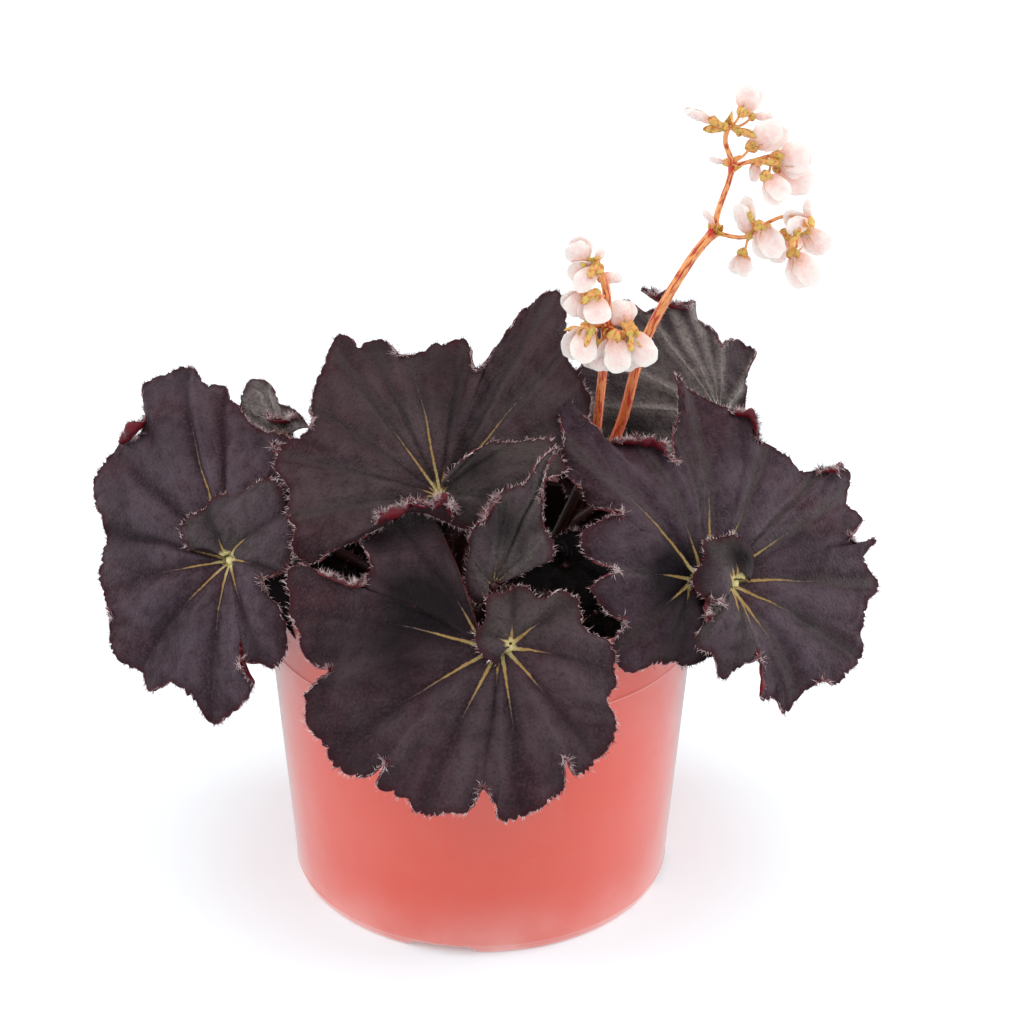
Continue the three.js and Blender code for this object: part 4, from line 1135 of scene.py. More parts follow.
def add_stalk(sculpt, leaf, draw):
    """Adds a leaf's stalk, with its hairs, from under the soil to the boss where the blade winds round it."""
    right, up, out = leaf_axes(leaf)
    half_shift = (right * leaf["shift"][0] + up * leaf["shift"][1]) / 2
    hub = np.array(leaf["hub"], float)
    half_height = leaf["ramp"] / 2
    points = [
        *((*leaf["foot"], z) for z in FOOT_HEIGHTS),
        *leaf["way"],
        hub - half_shift - out * leaf["neck"],
        hub - half_shift - out * (half_height + 0.75),
        hub + half_shift + out * (half_height - 0.1),
    ]
    path = spline(points, np.linspace(0, 1, LEAF_STALK["steps"]))
    along = np.linspace(0, 1, len(path))
    radii = leaf["stalk"] * (1.04 - 0.2 * smoothstep(along, 0, 0.9)) + 0.05 * np.sin(41 * along)
    radii[-5:] = np.array([1.4, 1.3, 1.2, 1.1, 0.85])
    skin, faces, _ = tube(path, radii, LEAF_STALK["sides"])
    near_hub = leaf["star"] * bell(np.linalg.norm(skin - path[-1], axis=1), 3.5)
    sculpt.add(skin, faces, STALK, hub=near_hub)

    count = int(travelled(path)[-1] * LEAF_STALK["hairs"])
    roots, spoke, direction = stem_roots(path, radii, count, (18, len(path) - 6), 0.1, draw)
    roots += direction * draw.uniform(-0.5, 0.5, (count, 1))
    aim = spoke + direction * draw.normal(0.1, 0.35, (count, 1))
    add_hairs(sculpt, HAIR, roots, aim, STALK_HAIRS, draw)


def add_face_hairs(sculpt, under, normals, values, draw):
    """Adds the short hairs on the underside, most of them on its ribs."""
    chance = (0.15 + bell(values["gap"], 1.2)) * (values["share"] > 0.15)
    chance = (chance / chance.sum()).ravel()
    count = len(chance) // 45
    index = draw.choice(len(chance), count, p=chance, replace=False)
    facing = -normals.reshape(-1, 3)[index]
    aim = facing + draw.normal(0, 0.35, (count, 3))
    add_hairs(sculpt, HAIR, under.reshape(-1, 3)[index] - facing * 0.05, aim, UNDERSIDE_HAIRS, draw)


def seeded(seed):
    """A seeded source of numbers from 0 to 1."""
    state = seed * 7919.0 + 17
    while True:
        state = (state * 1103515245.0 + 12345.0) % 2147483648.0
        yield state / 2147483648.0


def loose_outline(radius, seed):
    """
    The outline of a leaf that the front view hides. It is broad, lopsided and bitten, with its tip
    hanging outwards and two short lobes that overlap above the stalk.
    """
    draw = seeded(seed)
    points = []
    for i in range(14):
        part = i / 13
        angle = math.radians(68 + 405 * part)
        body = 0.42 + 0.58 * math.sin(math.pi * part**0.85) ** 0.8
        bitten = i % 3 == 2
        reach = radius * body * (0.84 if bitten else 1) * (0.93 + 0.14 * next(draw)) * (1.12 if i == 6 else 1)
        points.append((reach * math.cos(angle), reach * math.sin(angle), 1.5 if bitten else 0))
    return points


def all_leaves():
    """Every leaf with all its values, by the name of the node that it stands for."""
    leaves = {name: {**PLAIN_LEAF, **leaf} for name, leaf in SHOWN_LEAVES.items()}
    for name, (hub, face, rise, foot, radius, seed, way) in HIDDEN_LEAVES.items():
        place = {"hub": hub, "face": face, "rise": rise, "foot": foot, "way": way}
        edge = loose_outline(radius, seed)
        leaves[name] = {**PLAIN_LEAF, **HIDDEN_STYLE, **place, "edge": edge, **HIDDEN_TINTS_AND_SHADE.get(name, {})}
    return leaves


def make_leaf(name, leaf, seed, materials):
    """A whole leaf as one piece: blade, stalk and hairs."""
    sizes = settings("leaves")
    draw = np.random.default_rng(seed)
    sculpt = Sculpt("vein", "gap", "branch", "margin", "olive", "hub", "share", "tone", "fade", "ridge",
                    "pale", "dim", "streak", "raised", "patch")
    points, values, roll, bites, surface = blade_surface(leaf, sizes.spacing / MM * leaf["coarseness"], draw)
    _, _, out = leaf_axes(leaf)
    normals, under = add_blade(sculpt, points, values, out, sizes.thickness / MM)
    sculpt.add(*margin_hairs(points, normals, roll, bites, draw), HAIR)
    add_face_hairs(sculpt, under, normals, values, draw)
    for radius, places in leaf["curls"]:
        add_curl(sculpt, leaf, radius, places, surface, draw)
    add_stalk(sculpt, leaf, draw)
    keep(sculpt.build("begonia_" + name, materials), "leaf", name)


def petal(length, width, cup, draw):
    """One broad, round, ruffled petal as a grid that stands on the origin, along +Z, facing +Y."""
    rows, columns = PETAL_GRID
    rise = (1 - np.cos(np.linspace(0.04, 1, rows) * np.pi)) / 2
    across = np.sin(np.linspace(-1, 1, columns) * np.pi / 2)
    outline = np.clip(1 - (2 * rise - 1) ** 2, 0, 1) ** 0.5 * (0.8 + 0.26 * rise)
    x = across[None] * outline[:, None] * width / 2
    z = (rise[:, None] - 0.04) * length + np.zeros_like(x)
    depth = cup * ((across[None] ** 2) * outline[:, None] ** 2 + 0.8 * (rise[:, None] - 0.4) ** 2)
    points = np.stack([x, depth, z], axis=-1)
    rim = np.maximum(np.abs(across)[None] * np.ones((rows, 1)), np.abs(2 * rise - 1)[:, None])
    points[..., 1] += 0.26 * waves(points, 4, draw) * rim**2 + 0.08 * waves(points, 1.6, draw)
    points[..., 0] += 0.16 * waves(points, 3, draw) * rim**3
    points[..., 2] += 0.16 * waves(points, 3, draw) * rim**3
    return points, rim, np.broadcast_to(rise[:, None], rim.shape)


def add_petal(sculpt, points, rim, rise, turn, origin, material):
    """Adds a petal with two faces and an edge, turned and moved to its place."""
    offset = sculpt.count
    half = grid_normals(points) * (PETAL_THICKNESS * (1 - 0.6 * rim) / 2)[..., None]
    faces = grid_faces(*rim.shape)
    for side, part in ((half, faces[:, ::-1]), (-half, faces)):
        sculpt.add((points + side) @ turn + origin, [part], material, rim=rim.ravel(), along=rise.ravel())
    sculpt.add_faces(border_faces(*rim.shape), offset, material)


def add_pod(sculpt, middle, turn, size):
    """Adds a seed pod with three wings."""
    rows, columns = POD_GRID
    part = np.linspace(0, 1, rows)[:, None]
    angle = np.linspace(0, 2 * np.pi, columns, endpoint=False)[None]
    body = np.sin(np.pi * (0.04 + 0.92 * part)) ** 0.7
    wings = np.abs(np.cos(1.5 * angle)) ** 7
    radius = size * body * (0.55 + 0.75 * wings)
    z = (part - 0.55) * 2.1 * size + np.zeros_like(radius)
    points = np.stack([radius * np.cos(angle), radius * np.sin(angle), z], axis=-1)
    flat = points.reshape(-1, 3) @ turn + middle
    sculpt.add(flat, [grid_faces(rows, columns, True), *cap_faces(rows, columns)], POD)


def flower_turn(along):
    """The turn that brings +Z onto a flower's own direction."""
    along = unit(along)
    across = unit(np.cross((0, 1, 0), along))
    return np.array([across, np.cross(along, across), along])


def rotated(points, axis, angle):
    """Points turned about the X, Y or Z axis, whose numbers are 0, 1 and 2."""
    first, second = (axis + 1) % 3, (axis + 2) % 3
    cosine, sine = math.cos(angle), math.sin(angle)
    made = points.copy()
    made[..., first] = cosine * points[..., first] - sine * points[..., second]
    made[..., second] = sine * points[..., first] + cosine * points[..., second]
    return made


def add_flower(sculpt, flower, draw):
    """Adds a flower: a pair of rounded, cupped petals, a winged pod and its thin stalk."""
    start, middle, end = (np.array(point, float) for point in flower[:3])
    width, kind = flower[3:]
    along = end - middle
    size = np.linalg.norm(along)
    turn = flower_turn(along)
    opened = kind == "open"
    spread, cup, apart = (1.02, 0.13, 0.09) if opened else (0.8, 0.3, 0.3)
    for side in (-1, 1):
        points, rim, rise = petal(size, width * spread, -side * width * cup, draw)
        points[..., 1] += side * width * apart
        lean = -0.2 * side * draw.uniform(0.6, 1.3) if opened else 0
        fan = side * draw.uniform(0.12, 0.3) if opened else 0
        points = rotated(rotated(points, 0, lean), 1, fan)
        add_petal(sculpt, points, rim, rise, turn, middle, POD if kind == "husk" else PETAL)
    add_pod(sculpt, middle - unit(along) * 0.3, turn, 0.15 * width + 0.7)
    if opened:
        roots = middle + draw.normal(0, 0.4, (FILAMENTS, 3))
        aim = unit(along) + draw.normal(0, 0.6, (FILAMENTS, 3))
        add_hairs(sculpt, POD, roots, aim, (size * 0.25, size * 0.5, 0.2, 0.3), draw)
    sag = np.array((0, 0, -FLOWER_STALK["sag"])) * np.linalg.norm(middle - start)
    path = spline([start, (start + middle) / 2 + sag, middle], np.linspace(0, 1, FLOWER_STALK["steps"]))
    skin, faces, distance = tube(path, FLOWER_STALK["radius"], FLOWER_STALK["sides"])
    sculpt.add(skin, faces, STEM, along=distance)


def add_bract(sculpt, place, along, draw):
    """Adds a pair of small pointed bracts at a joint of the stem."""
    for side in (0, math.pi):
        points, rim, rise = petal(4.2, 2.2, 1.1, draw)
        point = np.clip((points[..., 2] - 1.4) / 2.8, 0, 1)
        points[..., 0] *= 1 - 0.85 * point
        points = rotated(rotated(points, 0, -0.75), 2, side + draw.uniform(-0.6, 0.6))
        add_petal(sculpt, points, rim, rise, flower_turn(along), place, POD)


def make_spray(name, spray, seed, materials):
    """A spray as one piece: stem, branches, joints, bracts and flowers."""
    draw = np.random.default_rng(seed)
    sculpt = Sculpt("along", "rim", "joint", "wrap_x", "wrap_y")
    foot = [(*spray["foot"], z) for z in FOOT_HEIGHTS]
    joints = [np.array(points[0], float) for _, points in spray["branches"][1:]]
    for number, (radius, points) in enumerate(spray["branches"]):
        points = points if number else [*foot, *points]
        path = spline(points, np.linspace(0, 1, FLOWER_STEM["steps"] * len(points)))
        near = np.zeros(len(path))
        for joint in joints:
            near = np.maximum(near, bell(np.linalg.norm(path - joint, axis=1), 1.9))
        radii = radius * (1.04 - 0.34 * np.linspace(0, 1, len(path))) * (1 + 0.28 * near)
        sides = FLOWER_STEM["sides"] if radius > 1 else FLOWER_STEM["thin_sides"]
        skin, faces, distance = tube(path, radii, sides)
        joint_value = np.concatenate([np.repeat(near, sides), near[:1], near[-1:]])
        angle = np.append(np.tile(np.linspace(0, 2 * np.pi, sides, endpoint=False), len(path)), (0, 0))
        wrap = {"wrap_x": radius * np.cos(angle), "wrap_y": radius * np.sin(angle)}
        sculpt.add(skin, faces, STEM, along=distance, joint=joint_value, **wrap)
        count = int(distance.max() * FLOWER_STEM["hairs"])
        span = (0 if number else 40, len(path))
        roots, spoke, direction = stem_roots(path, radii, count, span, 0.06, draw)
        aim = spoke + direction * draw.normal(0, 0.3, (count, 1))
        add_hairs(sculpt, HAIR_PALE, roots, aim, STEM_HAIRS, draw)
        direction, _, _ = frames(path)
        if number:
            add_bract(sculpt, path[0], direction[0], draw)
        add_bract(sculpt, path[-1], direction[-1], draw)
    for flower in spray["flowers"]:
        add_flower(sculpt, flower, draw)
    keep(sculpt.build("begonia_" + name, materials), "flower_spray", name)


def pot_radius(z):
    """The pot wall's outer radius at a height, in millimetres."""
    pot = settings("pot")
    base, line = pot.base_radius / MM, pot.line_radius / MM
    return base + (line - base) * z / (pot.line_height / MM)


def rounded(profile, size):
    """A profile with each corner cut into a short bend, so that it catches the light."""
    profile = np.asarray(profile, float)
    points = [profile[0]]
    for before, corner, after in zip(profile, profile[1:], profile[2:]):
        back, on = before - corner, after - corner
        cut = min(size, np.linalg.norm(back) * 0.35, np.linalg.norm(on) * 0.35)
        first, last = corner + unit(back) * cut, corner + unit(on) * cut
        points += [first, (first + 2 * corner + last) / 4, last]
    return np.array([*points, profile[-1]])


def turned(profile, segments):
    """A profile of radius and height turned about the Z axis: a grid of points, row by row, and its faces."""
    angle = np.linspace(0, 2 * np.pi, segments, endpoint=False)
    radius, height = np.asarray(profile, float).T
    x = radius[:, None] * np.sin(angle)
    y = -radius[:, None] * np.cos(angle)
    points = np.stack([x, y, np.broadcast_to(height[:, None], x.shape)], axis=-1)
    return points, grid_faces(len(profile), segments, True), angle


def make_pot(material):
    """The pot: one thin moulded wall with a raised line, a foot ring with notches, and drain holes."""
    pot = settings("pot")
    top, line, wall = pot.height / MM, pot.line_height / MM, pot.wall / MM
    rim, belt, base = pot_radius(top), pot_radius(line), pot_radius(0)
    foot_inner = base - FOOT_RING["width"]
    floor_under, floor_top = FOOT_RING["height"], FOOT_RING["height"] + 1.5
    profile = [
        (PAD_RADIUS - 9, 0), (PAD_RADIUS, 0), (PAD_RADIUS + 0.6, floor_under),
        (foot_inner - 0.6, floor_under), (foot_inner, 0), (base - 1.1, 0), (base - 0.3, 1),
        (pot_radius(3) - 0.2, 2.6), (pot_radius(3) + 0.2, 3), (pot_radius(3.5), 3.5), (pot_radius(22), 22),
        (pot_radius(48), 48), (belt - 0.05, line - 0.5), (belt + 0.45, line), (belt + 0.15, line + 0.7),
        (pot_radius(82) + 0.1, 82), (rim + 0.05, top - 0.8), (rim - 0.4, top), (rim - wall, top),
        (rim - wall - 0.5, top - 0.8), (belt - wall - 0.2, line), (pot_radius(floor_top) - wall, floor_top),
        (26, floor_top), (PAD_RADIUS - 9, floor_top),
    ]
    points, faces, angle = turned(rounded(profile, 0.5), POT_SEGMENTS)
    turn = np.degrees(angle)[None] - NOTCH["azimuth"]
    across = (turn + 45) % 90 - 45
    sideways = np.abs(np.radians(across)) * base
    inward = (NOTCH["width"] / 2 + NOTCH["flare"] - sideways) / NOTCH["flare"]
    ceiling = NOTCH["height"] * np.clip(inward, 0, 1)
    radius = np.hypot(points[..., 0], points[..., 1])
    ring = radius > foot_inner - 0.3
    points[..., 2] = np.where(ring, np.maximum(points[..., 2], ceiling), points[..., 2])
    # How far each point of the wall takes the painted light from the floor, over its lowest 9 mm
    foot = np.clip(1 - points[..., 2] / 9, 0, 1) * (radius > foot_inner)
    # The inside faces, which take the painted shade
    inside = (radius < pot_radius(points[..., 2]) - 0.8 * wall) & (points[..., 2] > floor_top - 0.5)
    sculpt = Sculpt("inside", "foot")
    sculpt.add(points, [faces], inside=inside.ravel(), foot=foot.ravel())
    for cap in cap_faces(len(points), POT_SEGMENTS):
        sculpt.add_faces(cap, 0, smooth=False)
    piece = sculpt.build("begonia_pot", [material])
    drill_drains(piece)
    keep(piece, "pot_plastic", "pot")


def drill_drains(piece):
    """Cuts the drain holes through the pot's floor."""
    drill = Sculpt()
    for i in range(DRAIN["count"]):
        angle = 2 * math.pi * (i + 0.5) / DRAIN["count"]
        middle = (DRAIN["ring"] * math.cos(angle), DRAIN["ring"] * math.sin(angle))
        path = [(*middle, 1), (*middle, 4), (*middle, 7)]
        skin, faces, _ = tube(path, DRAIN["radius"], DRAIN_SIDES)
        drill.add(skin, faces)
    cutter = drill.build("drain_drill", [])
    cut = piece.modifiers.new("Drains", "BOOLEAN")
    cut.operation = "DIFFERENCE"
    cut.solver = "EXACT"
    cut.object = cutter
    bake(piece)
    bpy.data.objects.remove(cutter)


def bake(piece):
    """Applies a piece's modifiers to its mesh."""
    graph = bpy.context.evaluated_depsgraph_get()
    old = piece.data
    piece.data = bpy.data.meshes.new_from_object(piece.evaluated_get(graph))
    piece.modifiers.clear()
    bpy.data.meshes.remove(old)


def soil_height(x, y):
    """The height of the soil's crumbly top, in millimetres."""
    soil = settings("soil")
    swell = np.sin(x / 5.3 + 1) * np.cos(y / 4.7) + 0.6 * np.sin((x + y) / 3.1)
    return (soil.top + soil.bump * swell / 2) / MM


def lump(radius, draw, rings, sides, rough):
    """A rough rounded lump: its points and faces."""
    turn = np.linspace(0, 2 * np.pi, sides, endpoint=False)
    rise = np.linspace(0, np.pi, rings + 2)[1:-1, None]
    level = np.cos(rise) + np.zeros(sides)
    ball = np.stack([np.sin(rise) * np.cos(turn), np.sin(rise) * np.sin(turn), level], axis=-1)
    ball = np.vstack([ball.reshape(-1, 3), (0, 0, 1), (0, 0, -1)])
    ball *= 1 + rough * waves(ball, 1.6, draw, 5)[:, None]
    index = np.arange(sides)
    after = (index + 1) % sides
    last = (rings - 1) * sides
    top = np.stack([np.full(sides, rings * sides), index, after], axis=-1)
    bottom = np.stack([np.full(sides, rings * sides + 1), last + after, last + index], axis=-1)
    stretch = draw.uniform(0.65, 1.3, 3)
    return ball * radius * stretch, [grid_faces(rings, sides, True)[:, ::-1], np.vstack([top, bottom])]


def somewhere(reach, share, draw):
    """A random place on the soil within a share of its area."""
    away, turn = reach * math.sqrt(draw.uniform(0, share)), draw.uniform(0, 2 * np.pi)
    return away * math.cos(turn), away * math.sin(turn)


def make_soil(materials):
    """The soil: its body with a crumbly top, loose crumbs and fibres, and white perlite grains."""
    soil = settings("soil")
    draw = np.random.default_rng(3)
    bottom, top = FOOT_RING["height"] + 1.8, soil.top / MM
    edge = pot_radius(top) - settings("pot").wall / MM - 0.6
    side = [(1, bottom), (pot_radius(bottom) - 2.1, bottom), (pot_radius(top) - 2.1, top - 1.5)]
    rings = [(edge * part, top) for part in np.linspace(1, 0, SOIL_RINGS + 1)[:-1]]
    points, faces, _ = turned([*side, *rings, (0.5, top)], SOIL_SEGMENTS)
    up = points[..., 2] > top - 0.5
    level = soil_height(points[..., 0], points[..., 1])
    rough = 0.5 * waves(points, 3.1, draw) + 0.3 * waves(points, 1.3, draw)
    points[..., 2] = np.where(up, level + rough, points[..., 2])
    sculpt = Sculpt()
    sculpt.add(points, [faces, *cap_faces(len(points), SOIL_SEGMENTS)])
    for kind, count, smallest in ((PEAT, soil.crumbs, 0.5), (PERLITE, soil.grains, 0.7)):
        for _ in range(count):
            x, y = somewhere(edge, 0.97, draw)
            size = draw.uniform(smallest, 1.5)
            skin, parts = lump(size, draw, 4, 7, 0.3)
            sculpt.add(skin + (x, y, soil_height(x, y) + 0.45 * size), parts, kind, smooth=kind == PERLITE)
    for _ in range(soil.fibres):
        x, y = somewhere(edge, 0.9, draw)
        start = np.array((x, y, soil_height(x, y) + 0.4))
        step = unit((*draw.normal(size=2), 0.05)) * draw.uniform(1.5, 3.5)
        path = spline([start, start + step + (0, 0, 0.5), start + 2 * step], np.linspace(0, 1, 7))
        skin, parts, _ = tube(path, draw.uniform(0.12, 0.3), 5)
        sculpt.add(skin, parts, FIBRE)
    keep(sculpt.build("begonia_soil", materials), "soil", "soil")


def make_rhizome(materials):
    """The rhizome: a knobbly creeping stem with ringed scars, half sunk in the soil."""
    draw = np.random.default_rng(4)
    reach, steps, sides = RHIZOME["reach"], RHIZOME["steps"], RHIZOME["sides"]
    x = np.linspace(-reach, reach, steps)
    path = np.stack([x, 7 * np.sin(x / 11), SOIL_MIDDLE + 0.6 * np.sin(x / 5)], axis=-1)
    swell = 5.6 + 0.9 * np.abs(np.sin(np.pi * x / 9.5)) + 0.25 * np.sin(2.3 * x)
    ends = np.sqrt(np.clip(1 - (np.abs(x) / (reach + 0.4)) ** 4, 0, 1))
    skin, faces, distance = tube(path, swell * ends, sides)
    knobs = 0.4 * waves(skin, 4, draw) + 0.15 * waves(skin, 1.5, draw)
    middle = np.array([np.interp(skin[:, 0], x, path[:, k]) for k in range(3)]).T
    skin = skin + unit(skin - middle) * knobs[:, None]
    skin[:, 2] = SOIL_MIDDLE + (skin[:, 2] - SOIL_MIDDLE) * 0.85
    sculpt = Sculpt("along")
    sculpt.add(skin, faces, 0, along=distance)
    index = draw.integers(0, steps * sides, RHIZOME["hairs"])
    aim = unit(skin[index] - middle[index]) + draw.normal(0, 0.4, (len(index), 3))
    up = aim[:, 2] > 0
    add_hairs(sculpt, 1, skin[index[up]], aim[up], RHIZOME_HAIRS, draw)
    keep(sculpt.build("begonia_rhizome", materials), "rhizome", "rhizome")


def plastic_finish():
    """Matt moulded plastic, paler in patches, with faint smudges and a fine grain, painted light from the
    floor on its lowest part and painted shade inside.
    """
    pot = settings("pot")
    finish = Finish("Nursery pot plastic", 0.42, Specular_IOR_Level=0.6, Sheen_Weight=1.0,
                    Sheen_Roughness=0.34, Sheen_Tint=(0.8, 0.98, 1, 1))
    finish.base = pot.plastic
    finish.layer(finish.mottle(30, 3, 0.4, 0.7, 0, 0.5), pot.faded)
    finish.layer(finish.mottle(5, 6, 0.56, 0.75, 0, 0.3), pot.faded)
    # Painted light: the glowing floor's light on the lowest part of the wall, uneven in patches
    fade = finish.times(finish.attribute("foot"), finish.mottle(14, 3, 0.3, 0.65, 0.7, 1.1))
    finish.layer(finish.math("POWER", fade, 1.6), pot.foot)
    # Painted shade on the inside wall
    inside_shade = finish.times(finish.attribute("inside"), finish.mottle(6, 5, 0.2, 0.5, 0.94, 1))
    finish.layer(inside_shade, pot.inside)
    finish.roughen(9, 0.36, 0.5)
    finish.bump(finish.noise(0.5, 3), 0.03, 0.5)
    return finish.painted()


def soil_finishes():
    """Dark crumbly peat, white perlite and brown fibres."""
    soil = settings("soil")
    peat = Finish("Peat", 0.95, Specular_IOR_Level=0.2)
    peat.base = peat.mix(peat.mottle(1.6, 5, 0.45, 0.7), soil.dark, soil.light)
    peat.bump(peat.noise(0.6, 6), 0.5)
    perlite = Finish("Perlite", 0.85)
    perlite.base = perlite.mix(perlite.mottle(0.8, 4, 0.5, 0.75, 0, 0.6), soil.perlite, soil.light)
    perlite.bump(perlite.cells(0.4), 0.2)
    fibre = Finish("Bark fibre", 0.9)
    fibre.base = fibre.mix(fibre.noise(1.2, 4), soil.light, soil.dark)
    fibre.bump(fibre.noise(0.4, 4), 0.1)
    return [finish.painted() for finish in (peat, perlite, fibre)]


def rhizome_finishes():
    """Brown bark ringed by old leaf scars, and its hairs."""
    soil = settings("soil")
    bark = Finish("Rhizome bark", 0.8)
    rings = bark.math("SINE", bark.times(bark.attribute("along"), 1.9))
    bark.base = bark.mix(bark.mottle(2.2, 5, 0.35, 0.7), soil.rhizome, soil.dark)
    bark.bump(bark.plus(bark.times(rings, 0.3), bark.noise(1.1, 5)), 0.5)
    hair = Finish("Rhizome hair", 0.7)
    hair.base = hair.mix(hair.noise(3), soil.rhizome, soil.light)
    return [bark.painted(), hair.painted()]


def blade_top_finish():
    """
    The upper face: dark and faintly velvety, purple-brown with redder patches, pale veins that fade towards
    their points, a pale star at the hub and a dark red margin. Painted sheen greys the ridges, convex parts
    and stretches along the veins, the lobe on top is painted olive for its weaker sheen, painted shade
    darkens the creases, hollows and shaded parts, and painted light makes some patches paler.
    """
    leaf = settings("leaves")
    finish = Finish("Leaf upper face", 0.6, Specular_IOR_Level=0.1, Sheen_Weight=0.02, Sheen_Roughness=0.4,
                    Sheen_Tint=(0.85, 0.75, 0.82, 1))
    names = ("vein", "gap", "branch", "margin", "share", "tone", "raised", "patch", "streak", "fade")
    vein, gap, branch, margin, share, tone, raised, patch, streak, fade = map(finish.attribute, names)

    # The broad colours: brown or purple, reddish in patches and towards the edge, then painted sheen, light
    # and shade
    finish.base = finish.mix(tone, leaf.purple, leaf.brown)
    paler = finish.mix(tone, leaf.grey, leaf.dun)
    finish.layer(finish.mottle(30, 3, 0.35, 0.62, 0, 0.75), leaf.crease)
    finish.layer(finish.mottle(19, 2, 0.46, 0.62, 0, 0.55), leaf.flush)
    flush = finish.times(finish.spread(share, 0.55, 0.98), finish.mottle(22, 2, 0.36, 0.58))
    finish.layer(finish.times(flush, finish.spread(tone, 0.1, 0.85, 0.3, 1)), leaf.flush)
    # Olive: painted on the lobe on top for its weaker sheen, and the greener blades' own colour
    finish.layer(finish.attribute("olive"), leaf.olive)
    # Pale blades: partly their own grey, partly painted sheen and light
    finish.layer(finish.attribute("pale"), leaf.pallid)
    # Painted sheen on the ridges between the veins
    finish.layer(finish.times(finish.attribute("ridge"), finish.mottle(13, 4, 0.4, 0.66, 0.05, 0.9)), paler)
    # Painted sheen on convex parts and painted shade in hollows
    finish.layer(finish.spread(raised, 0.15, 0.9, 0, 0.35), paler)
    finish.layer(finish.spread(raised, -0.15, -0.9, 0, 0.4), leaf.crease)
    # Painted light where the blade catches it
    finish.layer(finish.spread(patch, 0, 1, 0, 0.85), paler)
    # Painted sheen in broad pale streaks along the veins
    aside = finish.minus(gap, finish.times(finish.noise(7, 3), 1.2))
    broad = finish.times(finish.spread(aside, -0.2, 1.5, 1, 0), finish.spread(share, 0.1, 0.4))
    finish.layer(finish.times(broad, streak), leaf.pallid)

    # The fine grain
    finish.layer(finish.mottle(5, 5, 0.5, 0.75, 0, 0.3), paler)
    finish.layer(finish.mottle(0.7, 3, 0.46, 0.7, 0, 0.45), paler)
    finish.layer(finish.mottle(0.8, 3, 0.48, 0.28, 0, 0.5), leaf.crease)

    # Painted shade in the creases along the veins, in the grooves between the pillows and in the darkest
    # hollows, then the margin
    wander = finish.times(finish.noise(2.4), 0.5)
    crease = finish.spread(finish.minus(gap, wander), 0, 0.9, 1, 0)
    crease = finish.times(crease, finish.mottle(8, 2, 0.35, 0.65, 0.1, 0.4))
    finish.layer(finish.times(crease, finish.spread(streak, 0, 0.6, 1, 0)), leaf.crease)
    finish.layer(finish.spread(finish.minus(branch, wander), -0.1, 0.35, 0.2, 0), leaf.crease)
    # Painted shade in the darkest hollows and where other leaves shade the blade
    finish.layer(finish.spread(patch, 0, -0.95, 0, 0.95), leaf.deep)
    rim = finish.minus(margin, finish.times(finish.noise(3.5, 3), 1.6))
    finish.layer(finish.spread(rim, -0.8, 1.2, 0.85, 0), leaf.margin)
    lip = finish.times(finish.spread(margin, 0, 0.3, 1, 0), finish.mottle(3, 2, 0.42, 0.62, 0, 0.45))
    finish.layer(lip, leaf.lip)

    # The pale stretches of the veins, and the star where they meet
    jitter = finish.plus(vein, finish.mottle(1.1, 3, 0.3, 0.7, -0.14, 0.06))
    line = finish.mix(finish.spread(fade, 0.2, 0.5), leaf.vein_end, leaf.vein)
    line = finish.mix(finish.spread(fade, 0.75, 1), line, leaf.hub)
    # Where painted sheen runs along the veins, their pale stretches turn grey too
    line = finish.mix(finish.spread(streak, 0.4, 0.8), line, leaf.pallid)
    pale = finish.times(finish.spread(jitter, -0.08, 0.16), finish.spread(fade, 0, 0.5, 0.35, 0.9))
    finish.layer(pale, line)
    star = finish.plus(finish.attribute("hub"), finish.mottle(1.2, 3, 0.3, 0.7, -0.3, 0.3))
    finish.layer(finish.spread(star, 0.5, 0.9, 0, 0.9), leaf.hub)
    # Painted shade over leaves in deep shade and under the last lobe
    finish.layer(finish.attribute("dim"), SHADE)
    finish.roughen(1.6, 0.52, 0.7)
    pebbles = finish.times(finish.cells(0.7), -0.8)
    finish.bump(finish.plus(pebbles, finish.times(finish.noise(1.9, 4), 1.6)), 0.3)
    return finish.painted()


def blade_under_finish():
    """The underside: crimson and satiny, darker in patches, with paler ribs, and painted shade where the leaf
    lies in shade.
    """
    leaf = settings("leaves")
    finish = Finish("Leaf underside", 0.45, Specular_IOR_Level=0.3)
    finish.base = finish.mix(finish.mottle(5, 4, 0.36, 0.7), leaf.underside, leaf.margin)
    finish.layer(finish.spread(finish.attribute("gap"), 0.15, 0.9, 0.6, 0), leaf.stalk)
    lip = finish.spread(finish.attribute("margin"), 0, 0.4, 1, 0)
    finish.layer(finish.times(lip, finish.mottle(3, 2, 0.42, 0.62, 0.1, 0.5)), leaf.lip)
    # Painted shade over leaves in deep shade and under the last lobe
    finish.layer(finish.attribute("dim"), SHADE)
    finish.bump(finish.plus(finish.noise(1.4, 4), finish.cells(0.6)), 0.14, 0.8)
    return finish.painted()


def hair_finish(name, tint, root):
    """Fine bristly hairs, paler towards their tips."""
    finish = Finish(name, 0.45, Specular_IOR_Level=0.4)
    finish.base = finish.mix(finish.mottle(2, 2, 0.35, 0.65), tint, root)
    return finish.painted()


def stalk_finish():
    """A leaf stalk: tan to red, flecked with darker red, and pale yellow where it meets the blade."""
    leaf = settings("leaves")
    finish = Finish("Leaf stalk", 0.45, Specular_IOR_Level=0.45)
    flecks = finish.spread(finish.noise(1.5, 3, finish.stretched(1, 1, 0.3)), 0.5, 0.58, 0, 0.9)
    finish.base = finish.mix(flecks, leaf.stalk, leaf.stalk_fleck)
    finish.layer(finish.spread(finish.attribute("hub"), 0.25, 0.8), leaf.hub)
    finish.bump(finish.noise(0.9, 4), 0.12, 0.7)
    return finish.painted()


